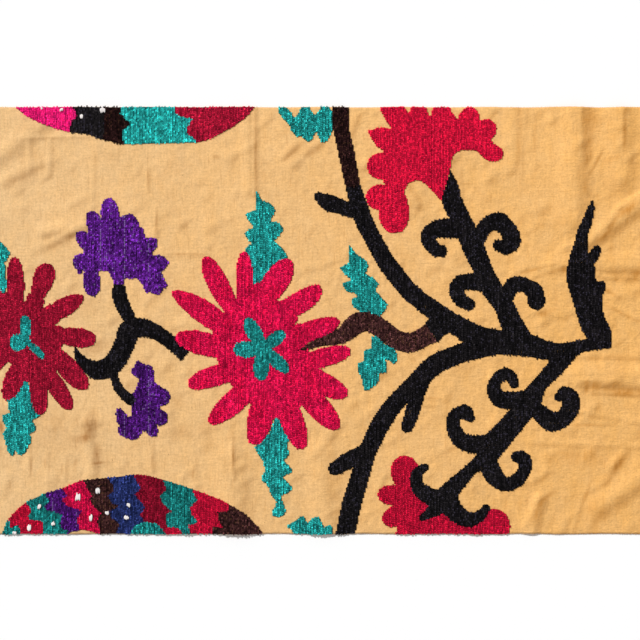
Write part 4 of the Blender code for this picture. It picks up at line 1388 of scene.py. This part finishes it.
@dataclass
class WhiteKnots:
    """The white dots of the rings, each a few thick upright stitches side by side.

    The fields are how the cloth lies, the seed of the random draws, the stitches' pitch and depth, how
    round a dot's ends are, how far its stitches sway, how high they lie, and how far their tips dip.
    """

    lie: Lie
    seed: int = 41
    pitch: float = 1.15
    depth: float = 0.9
    roundness: float = 0.55
    sway: float = 0.6
    seat: float = 1.1
    dip: float = 0.7

    def build(self) -> bpy.types.Object:
        """Makes all the dots as one piece.

        Returns:
            The piece.
        """
        draw = np.random.default_rng(self.seed)
        rows = []
        for knot in KNOTS:
            count = max(2, round(knot.width / self.pitch))
            for place in (np.arange(count) + 0.5) / count * 2.0 - 1.0:
                rounded = math.sqrt(1.0 - self.roundness * place ** 2)
                half = 0.5 * knot.height * rounded * draw.uniform(0.75, 1.2)
                x = knot.x + 0.5 * place * (knot.width - self.pitch)
                rows.append((x, knot.y + draw.uniform(-self.sway, self.sway), half))
        x, y, half = np.array(rows).T
        count = len(x)
        strands = Strands(x, y, half, np.radians(draw.normal(4.0, 6.0, count)),
                          np.full(count, 0.62 * self.pitch), np.full(count, 0.5 * self.depth),
                          THREAD_BASE + self.seat + draw.uniform(0.0, 0.2, count), self.dip)
        points, faces, _ = strands.laid(bead_pattern(7, 5), self.lie)
        mesh = mesh_of("white_knots", points, faces)
        bake_map(mesh)
        return new_piece("white_knots", mesh, WhiteThread().material())


@dataclass
class Fray:
    """Short loose thread ends along the four cut edges.

    The fields are how the cloth lies, the seed of the random draws, the ends' pitch, the longest one's
    length, their half width, how far they turn aside in degrees, and how far out their middles lie, as a
    share of half their length.
    """

    lie: Lie
    seed: int = 43
    pitch: float = 1.0
    longest: float = 1.3
    half_width: float = 0.2
    aside: float = 22.0
    out: float = 0.7

    def build(self, material: bpy.types.Material) -> bpy.types.Object:
        """Makes all the ends as one piece.

        Args:
            material: The cloth's own finish.

        Returns:
            The piece.
        """
        draw = np.random.default_rng(self.seed)
        rows = []
        edges = ((-90.0, CLOTH_LENGTH, 0.0, 0.0, 0.0, 1.0),
                 (90.0, CLOTH_LENGTH, CLOTH_WIDTH, 0.0, 0.0, 1.0),
                 (180.0, CLOTH_WIDTH, 0.0, 0.0, 1.0, 0.0),
                 (0.0, CLOTH_WIDTH, 0.0, CLOTH_LENGTH, 1.0, 0.0))
        for heading, length, x, y, step_x, step_y in edges:
            places = np.arange(0.5 * self.pitch, length, self.pitch)
            rows += [(x + step_x * place, y + step_y * place, heading) for place in places]
        x, y, heading = np.array(rows).T
        x, y = wandered(x, y)
        count = len(x)
        lean = np.radians(heading + draw.normal(0.0, self.aside, count))
        half = 0.5 * self.longest * draw.uniform(0.35, 1.0, count)
        x, y = x + np.sin(lean) * half * self.out, y + np.cos(lean) * half * self.out
        thin = np.full(count, self.half_width)
        strands = Strands(x, y, half, lean, thin, thin,
                          0.5 * CLOTH_THICKNESS + draw.uniform(-0.3, 0.4, count))
        points, faces, _ = strands.laid(bead_pattern(4, 1), self.lie)
        mesh = mesh_of("frayed_edges", points, faces)
        bake_map(mesh)
        return new_piece("frayed_edges", mesh, material)


# Which thread each block is sewn in
THREADS = {
    Hue.PINK: ("pink_flower", "bottom_ring_pink"),
    Hue.CRIMSON: ("upper_palmette", "lower_palmette", "bottom_ring_inner_red", "bottom_ring_red_1",
                  "bottom_ring_red_2"),
    Hue.BURGUNDY: ("burgundy_flower", "top_ring_burgundy", "bottom_ring_burgundy"),
    Hue.MAGENTA: ("top_ring_magenta",),
    Hue.TEAL: ("pink_flower_eye", "burgundy_flower_eye", "leaf_above_pink", "leaf_below_pink",
               "leaf_above_burgundy", "leaf_below_burgundy", "leaf_above_brown", "leaf_below_brown",
               "leaf_at_top", "leaf_at_bottom", "top_ring_teal", "bottom_ring_inner_teal",
               "bottom_ring_teal_1", "bottom_ring_teal_2", "bottom_ring_teal_3"),
    Hue.PURPLE: ("purple_palmette", "purple_bud", "bottom_ring_purple"),
    Hue.NAVY: ("bottom_ring_navy",),
    Hue.BLACK: ("small_stem", "main_vine", "blade_leaf", "upper_side_stem", "lower_side_stem",
                "top_ring_black"),
    Hue.BROWN: ("brown_stem", "vine_upper", "top_ring_brown", "bottom_ring_brown_1",
                "bottom_ring_brown_2"),
}
# How much lighter or darker than its thread a block is, where that isn't one
SHADES = {
    "top_ring_teal": 1.25,
    "top_ring_burgundy": 1.25,
    "top_ring_magenta": 1.15,
    "pink_flower_eye": 0.80,
    "leaf_below_brown": 0.88,
    "leaf_above_brown": 0.95,
    "purple_bud": 0.80,
    "bottom_ring_teal_1": 0.66,
    "bottom_ring_teal_2": 0.66,
    "bottom_ring_teal_3": 0.64,
    "bottom_ring_inner_teal": 0.72,
    "bottom_ring_purple": 0.74,
    "bottom_ring_pink": 0.82,
    "bottom_ring_red_1": 0.78,
    "bottom_ring_red_2": 0.78,
    "bottom_ring_inner_red": 0.78,
    "bottom_ring_burgundy": 0.68,
    "burgundy_flower": 1.05,
    "lower_palmette": 0.75,
    "vine_upper": 0.66,
    "brown_stem": 1.15,
    "top_ring_black": 1.4,
    "top_ring_brown": 0.55,
}


@dataclass
class Embroidery:
    """All blocks of stitching. Each block's random draws start from a number of its own."""

    lie: Lie
    first_seed: int = 100

    def build(self) -> tuple[list[bpy.types.Object], list[Run]]:
        """Makes every block.

        Returns:
            The pieces and all their runs.
        """
        pieces, runs = [], []
        for hue, nodes in THREADS.items():
            material = hue.value.material()
            for node in nodes:
                block = Block(node, hue, self.lie, SHADES.get(node, 1.0))
                pieces.append(block.build(self.first_seed + len(pieces), material))
                runs += block.runs
                LOG.info("%s: %d triangles", pieces[-1].name, len(pieces[-1].data.polygons))
        return pieces, runs


@dataclass
class Studio:
    """The floor, the light and the camera.

    The fields are half the floor's side and how far it is under the cloth; the width that the camera sees
    on a level plane, that plane's height, how far the camera stands above the cloth's middle in the
    picture, its lens and its sensor; the key light's strength, its turn and height in degrees and how wide
    it is; and the strength of the sky.
    """

    floor_half: float = 3.0
    floor_drop: float = 0.0003
    frame_width: float = 0.640
    plane: float = 0.002
    rise: float = 0.0005
    lens: float = 85.0
    sensor: float = 36.0
    key_strength: float = 2.98
    key_turn: float = 45.0
    key_height: float = 42.0
    key_angle: float = 3.0
    sky_strength: float = 0.40

    def build(self) -> None:
        """Makes all of it."""
        self._floor()
        self._camera()
        self._light()

    def _floor(self) -> None:
        """A wide pale surface just under the cloth."""
        slab = bmesh.new()
        bmesh.ops.create_grid(slab, x_segments=1, y_segments=1, size=self.floor_half)
        bmesh.ops.translate(slab, verts=slab.verts, vec=(0.0, 0.0, -self.floor_drop))
        mesh = bpy.data.meshes.new("floor")
        slab.to_mesh(mesh)
        slab.free()
        mesh.materials.append(PaleFloor().material())
        floor = bpy.data.objects.new("floor", mesh)
        bpy.context.scene.collection.objects.link(floor)

    def _camera(self) -> None:
        """A camera straight above that sees the photographed width."""
        data = bpy.data.cameras.new("camera")
        data.lens = self.lens
        data.sensor_width = self.sensor
        camera = bpy.data.objects.new("camera", data)
        distance = self.frame_width * self.lens / self.sensor
        camera.location = (0.0, self.rise, self.plane + distance)
        bpy.context.scene.collection.objects.link(camera)
        bpy.context.scene.camera = camera

    def _light(self) -> None:
        """A soft key light from the upper left and an even sky."""
        data = bpy.data.lights.new("key", "SUN")
        data.energy = self.key_strength
        data.angle = math.radians(self.key_angle)
        key = bpy.data.objects.new("key", data)
        turn, height = math.radians(self.key_turn), math.radians(self.key_height)
        towards = Vector((-math.cos(turn) * math.cos(height), math.sin(turn) * math.cos(height),
                          math.sin(height)))
        key.rotation_euler = towards.to_track_quat("Z", "Y").to_euler()
        bpy.context.scene.collection.objects.link(key)
        world = bpy.data.worlds.new("sky")
        world.use_nodes = True
        background = world.node_tree.nodes["Background"]
        background.inputs["Color"].default_value = (1.0, 1.0, 1.0, 1.0)
        background.inputs["Strength"].default_value = self.sky_strength
        bpy.context.scene.world = world
        bpy.context.scene.view_settings.view_transform = "Standard"


def main() -> None:
    """Builds the cloth, its embroidery and the studio."""
    logging.basicConfig(level=logging.INFO, format="%(name)s: %(message)s")
    Studio().build()
    lie = Lie()
    stitching, runs = Embroidery(lie).build()
    ground = GroundCloth(lie).build(runs)
    trimmings = [WhiteKnots(lie).build(), Fray(lie).build(ground.data.materials[0])]
    stitching + trimmings
    for piece in [ground] + trimmings:
        LOG.info("%s: %d faces", piece.name, len(piece.data.polygons))


if __name__ == "__main__":
    main()
